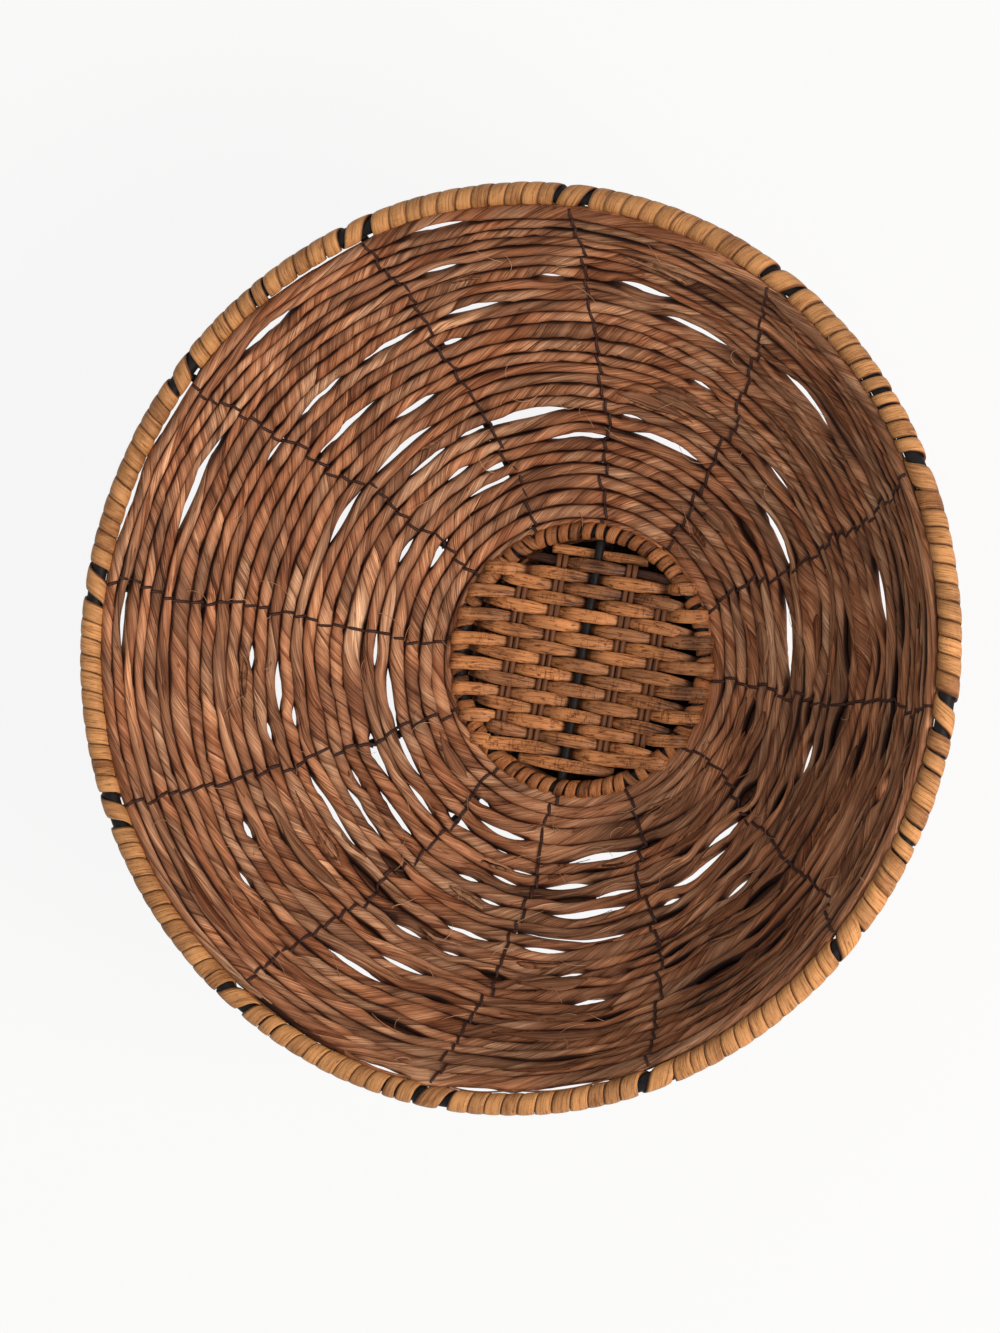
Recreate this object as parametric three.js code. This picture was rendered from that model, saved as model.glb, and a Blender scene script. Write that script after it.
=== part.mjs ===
// Wicker pedestal basket: a shallow round bowl on a low waisted foot.
// Steel hoops and bent ribs carry one long spiral of fibre rope.
// Cane binds the hoops, and a reed mat closes the base.
// Millimetres, +Z up, origin on the floor under the middle of the foot.
import * as THREE from "three";

// Overall form
const RIM_DIAMETER = 320; // over the cane binding
const RIM_HEIGHT = 138; // floor to the middle of the rim hoop
const RIM_SLOPE = 62; // slope of the wall where it meets the rim, degrees
const BASE_DIAMETER = 93; // middle line of the hoop round the mat
const BASE_HEIGHT = 58; // floor to the middle of the base hoop
const FOOT_DIAMETER = 116; // middle line of the hoop on the floor
const CLEARANCE = 0.3; // between pieces that touch

// Steel frame
const HOOP_ROD = 5.6; // rim and foot hoops
const BASE_ROD = 4.4; // base hoop
const RIB_WIRE = 3;
const RIB_COUNT = 12;
const RIB_BEND = 6; // radius of the bend from the bowl into the foot
const FRAME_TURN = -9.5; // turn of the ribs about the axis, degrees

// Rope walls and their lashing
const ROPE = 4.5;
const ROPE_GAP = 0.55; // least space between rows, on the rope's full round
const ROPE_SIDES = 5;
const THREAD = 1.2;

// Cane binding
const CANE = 1.1;
const STRIP_CROWN = 0.35; // how far a strip's edges lie below its middle
const STRIPS_PER_BAY = 7;
const RIB_WINDOW = 5.5; // bare steel between two bays of the rim binding
const FOOT_WINDOW = 2; // where the foot binding starts and ends

// Base mat
const MAT_TURN = -10; // turn of the weave about the axis, degrees
const REED_WIDTH = 3.8;
const REED_THICKNESS = 1.4;
const REED_GAP = 0.7; // between rows
const STAKE = 2; // thin reeds that the rows cross, laid in pairs
const STAKE_SPACING = 13.4; // from pair to pair
const STAKE_PAIRS_EACH_SIDE = 2;
const CROSS_BAR = 3.2; // steel bar in the middle of the mat
const STAKE_TAIL = 0.35; // how far a stake runs past the last row over it
const BAR_WINDOW = 1; // space on each side of the bar's end between two runs of binding
const WRAP_TOP = 115; // how far round the hoop a row leaves it, degrees from the hoop's outer side
const WRAP_TAIL = 20; // where the reed's two ends stop on the hoop, measured in the same way
const CLIMB_RUN = 0.8; // least run of a row for each millimetre that it climbs to the hoop

// Facets
const HOOP_SIDES = 6;
const HOOP_STEPS = 4 * RIB_COUNT;
const FOOT_STEPS = 2 * RIB_COUNT;
const BOWL_TURN_STEPS = 2 * RIB_COUNT;
const FOOT_TURN_STEPS = RIB_COUNT;
const RIB_SIDES = 6;
const RIB_BOWL_STEPS = 10;
const RIB_BEND_STEPS = 3;
const RIB_FOOT_STEPS = 4;
const THREAD_SIDES = 4;
const THREAD_STEPS = 8;
const BASE_BINDING_STEPS = 6;
const WRAP_STEPS = 7;
const WRAP_TAIL_STEPS = 3;

const UP = new THREE.Vector3(0, 0, 1);
const RIGHT_ANGLE = Math.PI / 2;
const FULL_TURN = 2 * Math.PI;
const radians = THREE.MathUtils.degToRad;

const material = (color, roughness, metalness) => {
  return new THREE.MeshStandardMaterial({ color, roughness, metalness });
};
const steel = material(0x17171a, 0.45, 0.6);
const cane = material(0xb08a55, 0.6, 0);
const rope = material(0x7b5a45, 0.9, 0);
const thread = material(0x2a1d18, 0.85, 0);
const reed = material(0x9c7a52, 0.7, 0);
const stakeReed = material(0x5e3a2c, 0.7, 0);

const basket = new THREE.Group();
const frame = new THREE.Group();
const mat = new THREE.Group();
frame.rotation.z = radians(FRAME_TURN);
mat.rotation.z = radians(MAT_TURN);
mat.position.z = BASE_HEIGHT;
basket.add(frame, mat);

function addPiece(group, name, geometry, look) {
  const piece = new THREE.Mesh(geometry, look);
  piece.name = name;
  group.add(piece);
  return piece;
}

const numbered = (name, number) => `${name}_${String(number + 1).padStart(2, "0")}`;

// A point at a turn about the axis, a radius and a height.
const polar = (turn, radius, height) => {
  return new THREE.Vector3(radius * Math.cos(turn), radius * Math.sin(turn), height);
};

// Six times the volume inside a closed set of triangles: negative when they face in.
function signedVolume(points, index) {
  let sum = 0;
  for (let i = 0; i < index.length; i += 3) {
    const side = new THREE.Vector3().crossVectors(points[index[i + 1]], points[index[i + 2]]);
    sum += points[index[i]].dot(side);
  }
  return sum;
}

// One closed body through rings of points.
// A looped loft joins its last ring to its first, and any other has flat ends.
function loft(rings, looped = false) {
  const sides = rings[0].length;
  const spans = looped ? rings.length : rings.length - 1;
  const index = [];
  for (let i = 0; i < spans; i += 1) {
    const here = i * sides;
    const next = ((i + 1) % rings.length) * sides;
    for (let j = 0; j < sides; j += 1) {
      const k = (j + 1) % sides;
      index.push(here + j, here + k, next + k);
      index.push(here + j, next + k, next + j);
    }
  }
  if (!looped) {
    const last = spans * sides;
    for (let j = 1; j < sides - 1; j += 1) {
      index.push(0, j + 1, j);
      index.push(last, last + j, last + j + 1);
    }
  }
  const points = rings.flat();
  if (signedVolume(points, index) < 0) {
    index.reverse();
  }
  const geometry = new THREE.BufferGeometry().setFromPoints(points);
  geometry.setIndex(index);
  geometry.computeVertexNormals();
  return geometry;
}

// Corners of a regular section, the first one lying along `across`.
function section(middle, across, along, radius, sides) {
  const corners = [];
  for (let i = 0; i < sides; i += 1) {
    const angle = (FULL_TURN * i) / sides;
    const corner = middle.clone();
    corner.addScaledVector(across, radius * Math.cos(angle));
    corner.addScaledVector(along, radius * Math.sin(angle));
    corners.push(corner);
  }
  return corners;
}

// An arc in the plane of radius and height that starts at a point and heading and turns left all the way.
// at() gives a station at a length along it, moved to the arc's left.
class WallArc {
  constructor(start, heading, radius, length) {
    Object.assign(this, { start, heading, radius, length });
  }

  at(distance, toLeft = 0) {
    const heading = this.heading + distance / this.radius;
    const sine = Math.sin(heading);
    const cosine = Math.cos(heading);
    const r = this.start.r + this.radius * (sine - Math.sin(this.heading)) - toLeft * sine;
    const z = this.start.z - this.radius * (cosine - Math.cos(this.heading)) + toLeft * cosine;
    return { r, z, heading };
  }
}

const leftOf = (turn, station) => polar(turn, -Math.sin(station.heading), Math.cos(station.heading));

// The section of a rope that runs round the wall at a station, its first corner to the wall's right.
function roundSection(turn, station, radius, sides) {
  const ahead = polar(turn, Math.cos(station.heading), Math.sin(station.heading));
  return section(polar(turn, station.r, station.z), leftOf(turn, station).negate(), ahead, radius, sides);
}

// The section of a wire that runs along the wall's line in the plane of X and Z.
function lineSection(station, radius, sides) {
  const sideways = new THREE.Vector3(0, 1, 0);
  return section(polar(0, station.r, station.z), leftOf(0, station), sideways, radius, sides);
}

// Outer sizes of what is wound on the hoops
const HEX_FLAT = Math.cos(Math.PI / HOOP_SIDES);
const hoopBinding = HOOP_ROD / 2 + CLEARANCE + CANE;
const baseBinding = BASE_ROD / 2 + CLEARANCE + CANE;
const reedWrapInner = BASE_ROD / 2 + CLEARANCE;
const reedWrapOuter = reedWrapInner + REED_THICKNESS;

// Middle points of the hoops
const rimHoop = { r: RIM_DIAMETER / 2 - hoopBinding, z: RIM_HEIGHT };
const baseHoop = { r: BASE_DIAMETER / 2, z: BASE_HEIGHT };
const footHoop = { r: FOOT_DIAMETER / 2, z: hoopBinding * HEX_FLAT };

// The line of a rib: an arc from under the base hoop to the rim, a bend, and an arc that flares to the foot.
const ropeToRib = ROPE / 2 + CLEARANCE + RIB_WIRE / 2;
const underBase = { r: baseHoop.r, z: baseHoop.z - reedWrapOuter - CLEARANCE - RIB_WIRE / 2 };
const bowlRise = Math.atan2(rimHoop.z - underBase.z, rimHoop.r - underBase.r);
const bowlHalfAngle = radians(RIM_SLOPE) - bowlRise;
const bowlChord = Math.hypot(rimHoop.z - underBase.z, rimHoop.r - underBase.r);
const bowlRadius = bowlChord / (2 * Math.sin(bowlHalfAngle));
const bowlStartSlope = bowlRise - bowlHalfAngle;
const bowlArc = new WallArc(underBase, bowlStartSlope, bowlRadius, 2 * bowlHalfAngle * bowlRadius);

const bendAngle = RIGHT_ANGLE - bowlStartSlope;
const bendArc = new WallArc(underBase, Math.PI + bowlStartSlope, RIB_BEND, bendAngle * RIB_BEND);
const waist = bendArc.at(bendArc.length);
const footHalfAngle = Math.atan2(footHoop.r - waist.r, waist.z - footHoop.z);
const footRadius = (waist.z - footHoop.z) / Math.sin(2 * footHalfAngle);
const footArc = new WallArc(waist, -RIGHT_ANGLE, footRadius, 2 * footHalfAngle * footRadius);

// Lengths of a wall that its rope covers, clear of the hoops at both ends
function ropeEndShort(arc, hoopRadius) {
  const reach = hoopRadius + CLEARANCE + ROPE / 2;
  const square = (reach ** 2 - ropeToRib ** 2) / (1 - ropeToRib / arc.radius);
  return arc.length - Math.sqrt(square);
}

const bowlRopeStart =
  (reedWrapOuter + CLEARANCE + ROPE / 2 + ropeToRib * Math.sin(bowlStartSlope)) / Math.cos(bowlStartSlope);
const bowlRopeEnd = ropeEndShort(bowlArc, hoopBinding);
const footRopeEnd = ropeEndShort(footArc, hoopBinding);

// Steel hoops
const rimRing = new THREE.TorusGeometry(rimHoop.r, HOOP_ROD / 2, HOOP_SIDES, HOOP_STEPS);
addPiece(frame, "rim_hoop", rimRing, steel).position.z = rimHoop.z;
const baseRing = new THREE.TorusGeometry(baseHoop.r, BASE_ROD / 2, HOOP_SIDES, HOOP_STEPS);
addPiece(mat, "base_hoop", baseRing, steel);
const footRing = new THREE.TorusGeometry(footHoop.r, HOOP_ROD / 2, HOOP_SIDES, FOOT_STEPS);
addPiece(frame, "foot_hoop", footRing, steel).position.z = footHoop.z;

// Ribs: each one bent wire from the rim hoop, down under the bowl and inside the foot to the foot binding
function ribGeometry() {
  const top = bowlArc.length - HOOP_ROD / 2 - CLEARANCE;
  const bottom = footArc.length - hoopBinding - CLEARANCE;
  const rings = [];
  for (let i = 0; i <= RIB_BOWL_STEPS; i += 1) {
    const station = bowlArc.at(top * (1 - i / RIB_BOWL_STEPS));
    station.heading += Math.PI;
    rings.push(lineSection(station, RIB_WIRE / 2, RIB_SIDES));
  }
  for (let i = 1; i <= RIB_BEND_STEPS; i += 1) {
    rings.push(lineSection(bendArc.at((bendArc.length * i) / RIB_BEND_STEPS), RIB_WIRE / 2, RIB_SIDES));
  }
  for (let i = 1; i <= RIB_FOOT_STEPS; i += 1) {
    rings.push(lineSection(footArc.at((bottom * i) / RIB_FOOT_STEPS), RIB_WIRE / 2, RIB_SIDES));
  }
  return loft(rings);
}

const ribTurn = (number) => (FULL_TURN * number) / RIB_COUNT;
const ribShape = ribGeometry();
for (let i = 0; i < RIB_COUNT; i += 1) {
  addPiece(frame, numbered("rib", i), ribShape, steel).rotation.z = ribTurn(i);
}

// Rope walls: one unbroken rope winds up the wall at a steady rate and crosses every rib in every turn.
function ropeRings(arc, from, to, turnSteps) {
  const wallLength = (to - from) * (1 - ropeToRib / arc.radius);
  const turns = Math.floor(wallLength / (ROPE + ROPE_GAP));
  const steps = turns * turnSteps;
  const rings = [];
  for (let i = 0; i <= steps; i += 1) {
    const station = arc.at(from + ((to - from) * i) / steps, ropeToRib);
    rings.push(roundSection((FULL_TURN * i) / turnSteps, station, ROPE / 2, ROPE_SIDES));
  }
  const lastTurn = (FULL_TURN * steps) / turnSteps;
  const straight = (ring, turn, length) => {
    const ahead = polar(turn + RIGHT_ANGLE, length, 0);
    return ring.map((corner) => corner.clone().add(ahead));
  };
  const first = straight(rings[0], 0, -ROPE);
  const last = straight(rings[steps], lastTurn, ROPE);
  return [first, ...rings, last];
}

// Least distance between a rope's corners and those of the row above, at and halfway between its rings.
function leastRowGap(rings, turnSteps) {
  const halfway = (i) => rings[i].map((corner, j) => corner.clone().lerp(rings[i + 1][j], 0.5));
  const nearest = (one, other) => Math.min(...one.flatMap((a) => other.map((b) => a.distanceTo(b))));
  let least = Infinity;
  for (let i = 1; i + turnSteps + 1 < rings.length; i += 1) {
    const atRing = nearest(rings[i], rings[i + turnSteps]);
    const between = nearest(halfway(i), halfway(i + turnSteps));
    least = Math.min(least, atRing, between);
  }
  return least;
}

const ropeWalls = [
  { name: "bowl_rope", arc: bowlArc, from: bowlRopeStart, to: bowlRopeEnd, turnSteps: BOWL_TURN_STEPS },
  { name: "foot_rope", arc: footArc, from: 0, to: footRopeEnd, turnSteps: FOOT_TURN_STEPS },
];
for (const wall of ropeWalls) {
  const rings = ropeRings(wall.arc, wall.from, wall.to, wall.turnSteps);
  console.log(`${wall.name}: least gap to itself ${leastRowGap(rings, wall.turnSteps).toFixed(2)} mm`);
  addPiece(frame, wall.name, loft(rings), rope);
}

// Lashing: a thread along each rib, on the inner crests of the bowl's rows
function stitchGeometry() {
  const ropeFlat = (ROPE / 2) * Math.cos(Math.PI / ROPE_SIDES);
  const offset = ropeToRib + ropeFlat + CLEARANCE + THREAD / 2;
  const rings = [];
  for (let i = 0; i <= THREAD_STEPS; i += 1) {
    const distance = bowlRopeStart + ((bowlRopeEnd - bowlRopeStart) * i) / THREAD_STEPS;
    rings.push(lineSection(bowlArc.at(distance, offset), THREAD / 2, THREAD_SIDES));
  }
  return loft(rings);
}

const stitchShape = stitchGeometry();
for (let i = 0; i < RIB_COUNT; i += 1) {
  addPiece(frame, numbered("stitch", i), stitchShape, thread).rotation.z = ribTurn(i);
}

// Cane binding: a sleeve round a stretch of hoop, with the crowns of its strips on the outside.
// A plain run has one flat strip to each step.
function bindingGeometry(hoopRadius, rod, outer, outerTurns, boreTurns, crown) {
  const bore = rod / 2 + CLEARANCE / HEX_FLAT;
  const ring = (turn, radius) => {
    return section(polar(turn, hoopRadius, 0), polar(turn, 1, 0), UP, radius, HOOP_SIDES);
  };
  const outside = outerTurns.map((turn, i) => ring(turn, i % 2 === 0 ? outer - crown : outer));
  const inside = boreTurns.map((turn) => ring(turn, bore));
  return loft([...outside, ...inside.reverse()], true);
}

const evenTurns = (from, to, steps) => {
  return Array.from({ length: steps + 1 }, (_, i) => from + ((to - from) * i) / steps);
};

const bayTurn = ribTurn(1);
const windowTurn = Math.asin(RIB_WINDOW / 2 / rimHoop.r);
const bayEdges = [windowTurn, bayTurn - windowTurn];
const hoopJoints = evenTurns(0, bayTurn, HOOP_STEPS / RIB_COUNT).slice(1, -1);
const rimBinding = bindingGeometry(
  rimHoop.r,
  HOOP_ROD,
  hoopBinding,
  evenTurns(...bayEdges, 2 * STRIPS_PER_BAY),
  [bayEdges[0], ...hoopJoints, bayEdges[1]],
  STRIP_CROWN,
);
for (let i = 0; i < RIB_COUNT; i += 1) {
  const run = addPiece(frame, numbered("rim_wrap", i), rimBinding, cane);
  run.position.z = rimHoop.z;
  run.rotation.z = ribTurn(i);
}

const footWindow = Math.asin(FOOT_WINDOW / 2 / footHoop.r);
const footJoints = evenTurns(0, FULL_TURN, FOOT_STEPS).slice(1, -1);
const footTurns = [footWindow, ...footJoints, FULL_TURN - footWindow];
const footBinding = bindingGeometry(footHoop.r, HOOP_ROD, hoopBinding, footTurns, footTurns, 0);
const footRun = addPiece(frame, "foot_wrap", footBinding, cane);
footRun.position.z = footHoop.z;
footRun.rotation.z = bayTurn / 2;

// Base mat: rows of flat reed along X go over and under the stakes and the steel bar, which run along Y.
const rowPitch = REED_WIDTH + REED_GAP;
const clearRadius = (baseHoop.r - baseBinding) * Math.cos(Math.PI / HOOP_STEPS) - CLEARANCE;
const rowsEachSide = Math.floor((clearRadius - REED_GAP) / rowPitch);
const rowPlace = (row) => (row + 0.5) * rowPitch;
const lastWovenRow = rowsEachSide - 2;
const wrapTop = radians(WRAP_TOP);
const wrapTail = radians(WRAP_TAIL);

// Where a row at a distance from the middle starts to climb over the hoop
const wrapStart = (y) => {
  const r = baseHoop.r + ((reedWrapInner + reedWrapOuter) / 2) * Math.cos(wrapTop);
  return Math.sqrt(r ** 2 - y ** 2);
};

// What the rows cross: half its width, how high it lifts a row and how far it reaches
const crossings = [];
for (let i = -STAKE_PAIRS_EACH_SIDE; i <= STAKE_PAIRS_EACH_SIDE; i += 1) {
  const x = i * STAKE_SPACING;
  const thickness = i === 0 ? CROSS_BAR : STAKE;
  const halfWidth = i === 0 ? CROSS_BAR / 2 : STAKE + CLEARANCE / 2;
  const lift = thickness / 2 + CLEARANCE + REED_THICKNESS / 2;
  let lastRow = lastWovenRow;
  const climb = lift + reedWrapOuter;
  while (wrapStart(rowPlace(lastRow) + REED_WIDTH / 2) - Math.abs(x) - halfWidth < CLIMB_RUN * climb) {
    lastRow -= 1;
  }
  const reach = rowPlace(lastRow) + REED_WIDTH / 2 + STAKE_TAIL;
  crossings.push({ place: i, x, halfWidth, lift, reach });
}

// Heights of a row's middle line at the two edges of each thing it crosses, from left to right
function rowLine(row) {
  const edge = Math.abs(rowPlace(row)) + REED_WIDTH / 2;
  const crossed = crossings.filter((crossing) => crossing.place === 0 || edge < crossing.reach);
  return crossed.flatMap(({ place, x, halfWidth, lift }) => {
    const z = (place + row) % 2 === 0 ? -lift : lift;
    return [
      { x: x - halfWidth * HEX_FLAT, z },
      { x: x + halfWidth * HEX_FLAT, z },
    ];
  });
}

// Four corners of the reed: outer is the face away from the hoop where the reed turns round it.
const reedSection = (y, corner) => {
  const low = y - REED_WIDTH / 2;
  const high = y + REED_WIDTH / 2;
  return [corner(low, 1), corner(high, 1), corner(high, -1), corner(low, -1)];
};

function flatSection(y, x, z, outerSide) {
  const half = (outerSide * REED_THICKNESS) / 2;
  return reedSection(y, (edge, face) => new THREE.Vector3(x, edge, z + face * half));
}

// The reed where it turns round the hoop at an angle about the hoop's own middle line
function wrapSection(y, side, angle) {
  return reedSection(y, (edge, face) => {
    const distance = face > 0 ? reedWrapOuter : reedWrapInner;
    const r = baseHoop.r + distance * Math.cos(angle);
    return new THREE.Vector3(side * Math.sqrt(r ** 2 - edge ** 2), edge, distance * Math.sin(angle));
  });
}

// One reed weaves every row but the outer two.
// It goes over the hoop on the right, back under it, and up on the left.
function weaverGeometry() {
  const firstRow = -lastWovenRow - 1;
  const tail = evenTurns(wrapTail, wrapTop, WRAP_TAIL_STEPS);
  const rings = tail.map((angle) => wrapSection(rowPlace(firstRow), -1, angle));
  for (let row = firstRow; row <= lastWovenRow; row += 1) {
    const goingRight = (row - firstRow) % 2 === 0;
    const side = goingRight ? 1 : -1;
    const line = rowLine(row);
    const ordered = goingRight ? line : line.reverse();
    rings.push(...ordered.map(({ x, z }) => flatSection(rowPlace(row), x, z, side)));
    if (row < lastWovenRow) {
      const turns = evenTurns(side * wrapTop, -side * wrapTop, WRAP_STEPS);
      turns.forEach((angle, i) => {
        rings.push(wrapSection(rowPlace(row + i / WRAP_STEPS), side, angle));
      });
    }
  }
  rings.push(...tail.reverse().map((angle) => wrapSection(rowPlace(lastWovenRow), -1, -angle)));
  return loft(rings);
}

addPiece(mat, "mat_weaver", weaverGeometry(), reed);

// The outermost row on each side is a short reed that ends at the binding.
function edgeReedGeometry(row) {
  const y = rowPlace(row);
  const reach = Math.sqrt(clearRadius ** 2 - (Math.abs(y) + REED_WIDTH / 2) ** 2);
  const line = rowLine(row);
  const stations = [{ x: -reach, z: 0 }, ...line, { x: reach, z: 0 }];
  return loft(stations.map(({ x, z }) => flatSection(y, x, z, 1)));
}

addPiece(mat, "edge_reed_front", edgeReedGeometry(-lastWovenRow - 2), reed);
addPiece(mat, "edge_reed_back", edgeReedGeometry(lastWovenRow + 1), reed);

// Stakes in pairs, and the steel bar from hoop to hoop
let stakeNumber = 0;
for (const { place, x, reach } of crossings) {
  if (place !== 0) {
    for (const side of [-1, 1]) {
      const stake = new THREE.CylinderGeometry(STAKE / 2, STAKE / 2, 2 * reach, HOOP_SIDES);
      const piece = addPiece(mat, numbered("mat_stake", stakeNumber), stake, stakeReed);
      piece.position.x = x + (side * (STAKE + CLEARANCE)) / 2;
      stakeNumber += 1;
    }
  }
}
const barLength = 2 * (baseHoop.r - BASE_ROD / 2 - CLEARANCE);
const bar = new THREE.CylinderGeometry(CROSS_BAR / 2, CROSS_BAR / 2, barLength, HOOP_SIDES);
addPiece(mat, "cross_bar", bar, steel);

// Binding on the front and the back of the base hoop, from the woven rows to the bar
const wovenEdge = rowPlace(lastWovenRow) + REED_WIDTH / 2 + REED_GAP;
const baseFrom = Math.asin(wovenEdge / (baseHoop.r - reedWrapOuter));
const baseTo = RIGHT_ANGLE - Math.asin((CROSS_BAR / 2 + BAR_WINDOW) / baseHoop.r);
const baseTurns = evenTurns(baseFrom, baseTo, BASE_BINDING_STEPS);
const baseRun = bindingGeometry(baseHoop.r, BASE_ROD, baseBinding, baseTurns, baseTurns, 0);
const mirroredTurns = baseTurns.map((turn) => Math.PI - turn).reverse();
const mirroredRun = bindingGeometry(baseHoop.r, BASE_ROD, baseBinding, mirroredTurns, mirroredTurns, 0);
for (const [half, turn] of [["back", 0], ["front", Math.PI]]) {
  addPiece(mat, `base_wrap_${half}_1`, baseRun, cane).rotation.z = turn;
  addPiece(mat, `base_wrap_${half}_2`, mirroredRun, cane).rotation.z = turn;
}

export default basket;
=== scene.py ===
"""Wicker pedestal basket: a coiled fibre bowl on a black wire frame, with a cane rim and a reed base mat."""
import math

import bpy
import numpy as np
from mathutils import Matrix, Vector


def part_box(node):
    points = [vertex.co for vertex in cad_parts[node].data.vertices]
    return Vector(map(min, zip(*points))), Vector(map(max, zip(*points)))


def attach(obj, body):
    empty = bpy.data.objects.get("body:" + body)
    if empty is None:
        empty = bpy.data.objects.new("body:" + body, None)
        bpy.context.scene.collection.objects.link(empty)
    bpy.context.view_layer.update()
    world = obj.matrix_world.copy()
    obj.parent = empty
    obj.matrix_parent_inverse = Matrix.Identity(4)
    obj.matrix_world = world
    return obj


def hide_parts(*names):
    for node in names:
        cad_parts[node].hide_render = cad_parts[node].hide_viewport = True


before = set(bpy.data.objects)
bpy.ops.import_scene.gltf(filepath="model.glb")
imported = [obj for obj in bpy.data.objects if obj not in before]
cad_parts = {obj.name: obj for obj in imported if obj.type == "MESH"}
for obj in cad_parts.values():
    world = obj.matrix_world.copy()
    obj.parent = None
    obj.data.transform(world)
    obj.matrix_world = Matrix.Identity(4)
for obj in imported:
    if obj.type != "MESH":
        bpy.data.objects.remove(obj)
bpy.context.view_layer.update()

MM = 0.001  # metres
CM = 0.1  # centimetres to one millimetre
TAU = 2 * math.pi

# Overall form, in millimetres and degrees
RIM_DIAMETER = 320
RIM_HEIGHT = 138
RIM_SLOPE = 62
BASE_DIAMETER = 93
BASE_HEIGHT = 58
FOOT_DIAMETER = 116
CLEARANCE = 0.3

# Steel frame
HOOP_ROD = 5.6
BASE_ROD = 4.4
RIB_WIRE = 3
RIB_COUNT = 12
RIB_BEND = 6
FRAME_TURN = -9.5  # azimuth of the first rib
CROSS_BAR = 3.2
RIB_WELD = 0.6  # how far a wire goes into the rod that it is welded to
BAR_WELD = 0.4

# Rope walls and their lashing
ROPE = 4.5
BOWL_TURNS = 25
FOOT_TURNS = 7
ROPE_LAY = 27  # length of rope in which the leaf twists once round
THREAD = 1.2
LOOP_THREAD = 0.55  # pulled tight round the back of a rib
LOOSE_SIDE = -45  # azimuth at which the leaf is twisted most loosely

# Cane binding
CANE = 1.1
RIM_STRIP = 6.2  # width of a strip of cane on the rim
RIM_STRIPS_PER_BAY = 11  # straight turns between two ribs
BASE_STRIP = 4.4
FOOT_STRIPS = 54

# Base mat
MAT_TURN = -10
REED_WIDTH = 3.8
REED_THICKNESS = 1.4
REED_GAP = 0.7
STAKE = 2
STAKE_SPACING = 13.4
STAKE_PAIRS_EACH_SIDE = 2
WRAP_TOP = 115  # angles round the base hoop at which a reed leaves it, and at which the reed ends
WRAP_TAIL = 20
LAST_WOVEN_ROW = 7

# Daylight between two rows of the bowl: azimuth, distance up the wall, length in degrees, opening
BOWL_GAPS = [
    (3, 40, 17, 4.6), (7, 95, 9, 6.5), (27, 46, 12, 3.1), (36, 62, 8, 3.0), (40, 106, 12, 8.5),
    (59, 76, 5, 2.8), (61, 94, 12, 3.5), (64, 42, 15, 2.9), (72, 107, 7, 4.5), (74, 48, 5, 1.6),
    (87, 104, 4, 2.4), (89, 37, 12, 2.0), (99, 49, 16, 2.3), (100, 135, 8, 3.6), (101, 94, 8, 2.4),
    (103, 116, 5, 2.4), (108, 84, 4, 1.2), (113, 33, 6, 0.9), (114, 51, 4, 0.6), (117, 26, 10, 1.1),
    (117, 94, 8, 1.7), (118, 143, 13, 2.3), (121, 68, 8, 1.8), (122, 38, 6, 1.2), (126, 49, 8, 1.0),
    (128, 60, 13, 1.6), (129, 131, 7, 4.3), (132, 95, 8, 2.0), (133, 78, 11, 1.6), (143, 95, 4, 1.5),
    (144, 25, 7, 0.8), (146, 142, 10, 2.6), (148, 31, 6, 0.9), (148, 59, 9, 1.9), (154, 119, 12, 3.3),
    (159, 142, 8, 3.2), (175, 134, 8, 2.8), (177, 33, 7, 1.1), (179, 80, 3, 1.1), (185, 72, 8, 2.0),
    (190, 31, 13, 1.0), (191, 66, 4, 1.4), (193, 78, 3, 1.2), (205, 41, 9, 1.5), (207, 28, 12, 1.9),
    (208, 48, 5, 1.3), (209, 97, 3, 1.2), (212, 63, 14, 2.1), (215, 55, 13, 2.0), (216, 107, 3, 1.5),
    (220, 45, 9, 1.3), (221, 32, 9, 0.8), (233, 31, 6, 1.6), (234, 20, 5, 1.1), (239, 101, 9, 2.6),
    (241, 78, 6, 2.9), (244, 91, 8, 2.3), (245, 26, 13, 0.2), (245, 46, 5, 1.0), (250, 76, 4, 2.4),
    (250, 141, 4, 3.6), (251, 67, 9, 1.8), (252, 52, 5, 1.0), (253, 39, 7, 1.3), (254, 141, 4, 4.4),
    (256, 33, 6, 1.8), (266, 141, 6, 6.2), (268, 65, 9, 3.2), (270, 40, 11, 2.9), (273, 59, 22, 3.4),
    (274, 78, 5, 1.8), (276, 50, 16, 4.2), (278, 32, 17, 3.4), (278, 141, 9, 6.8), (279, 92, 6, 0.8),
    (282, 44, 10, 1.0), (282, 81, 5, 2.6), (295, 57, 4, 2.2), (303, 52, 13, 4.0), (309, 71, 6, 5.4),
    (312, 46, 10, 5.0), (337, 62, 7, 4.2), (339, 113, 4, 5.0),
]


# Places shared by every piece


class WallArc:
    """An arc in the plane of radius and height that turns left all the way."""

    def __init__(self, r, z, heading, radius, length):
        self.r = r
        self.z = z
        self.heading = heading
        self.radius = radius
        self.length = length

    def at(self, distance, to_left=0.0):
        """Radius, height and heading at a length along the arc, moved to its left."""
        heading = self.heading + np.asarray(distance) / self.radius
        r = self.r + self.radius * (np.sin(heading) - math.sin(self.heading)) - to_left * np.sin(heading)
        z = self.z - self.radius * (np.cos(heading) - math.cos(self.heading)) + to_left * np.cos(heading)
        return r, z, heading


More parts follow.
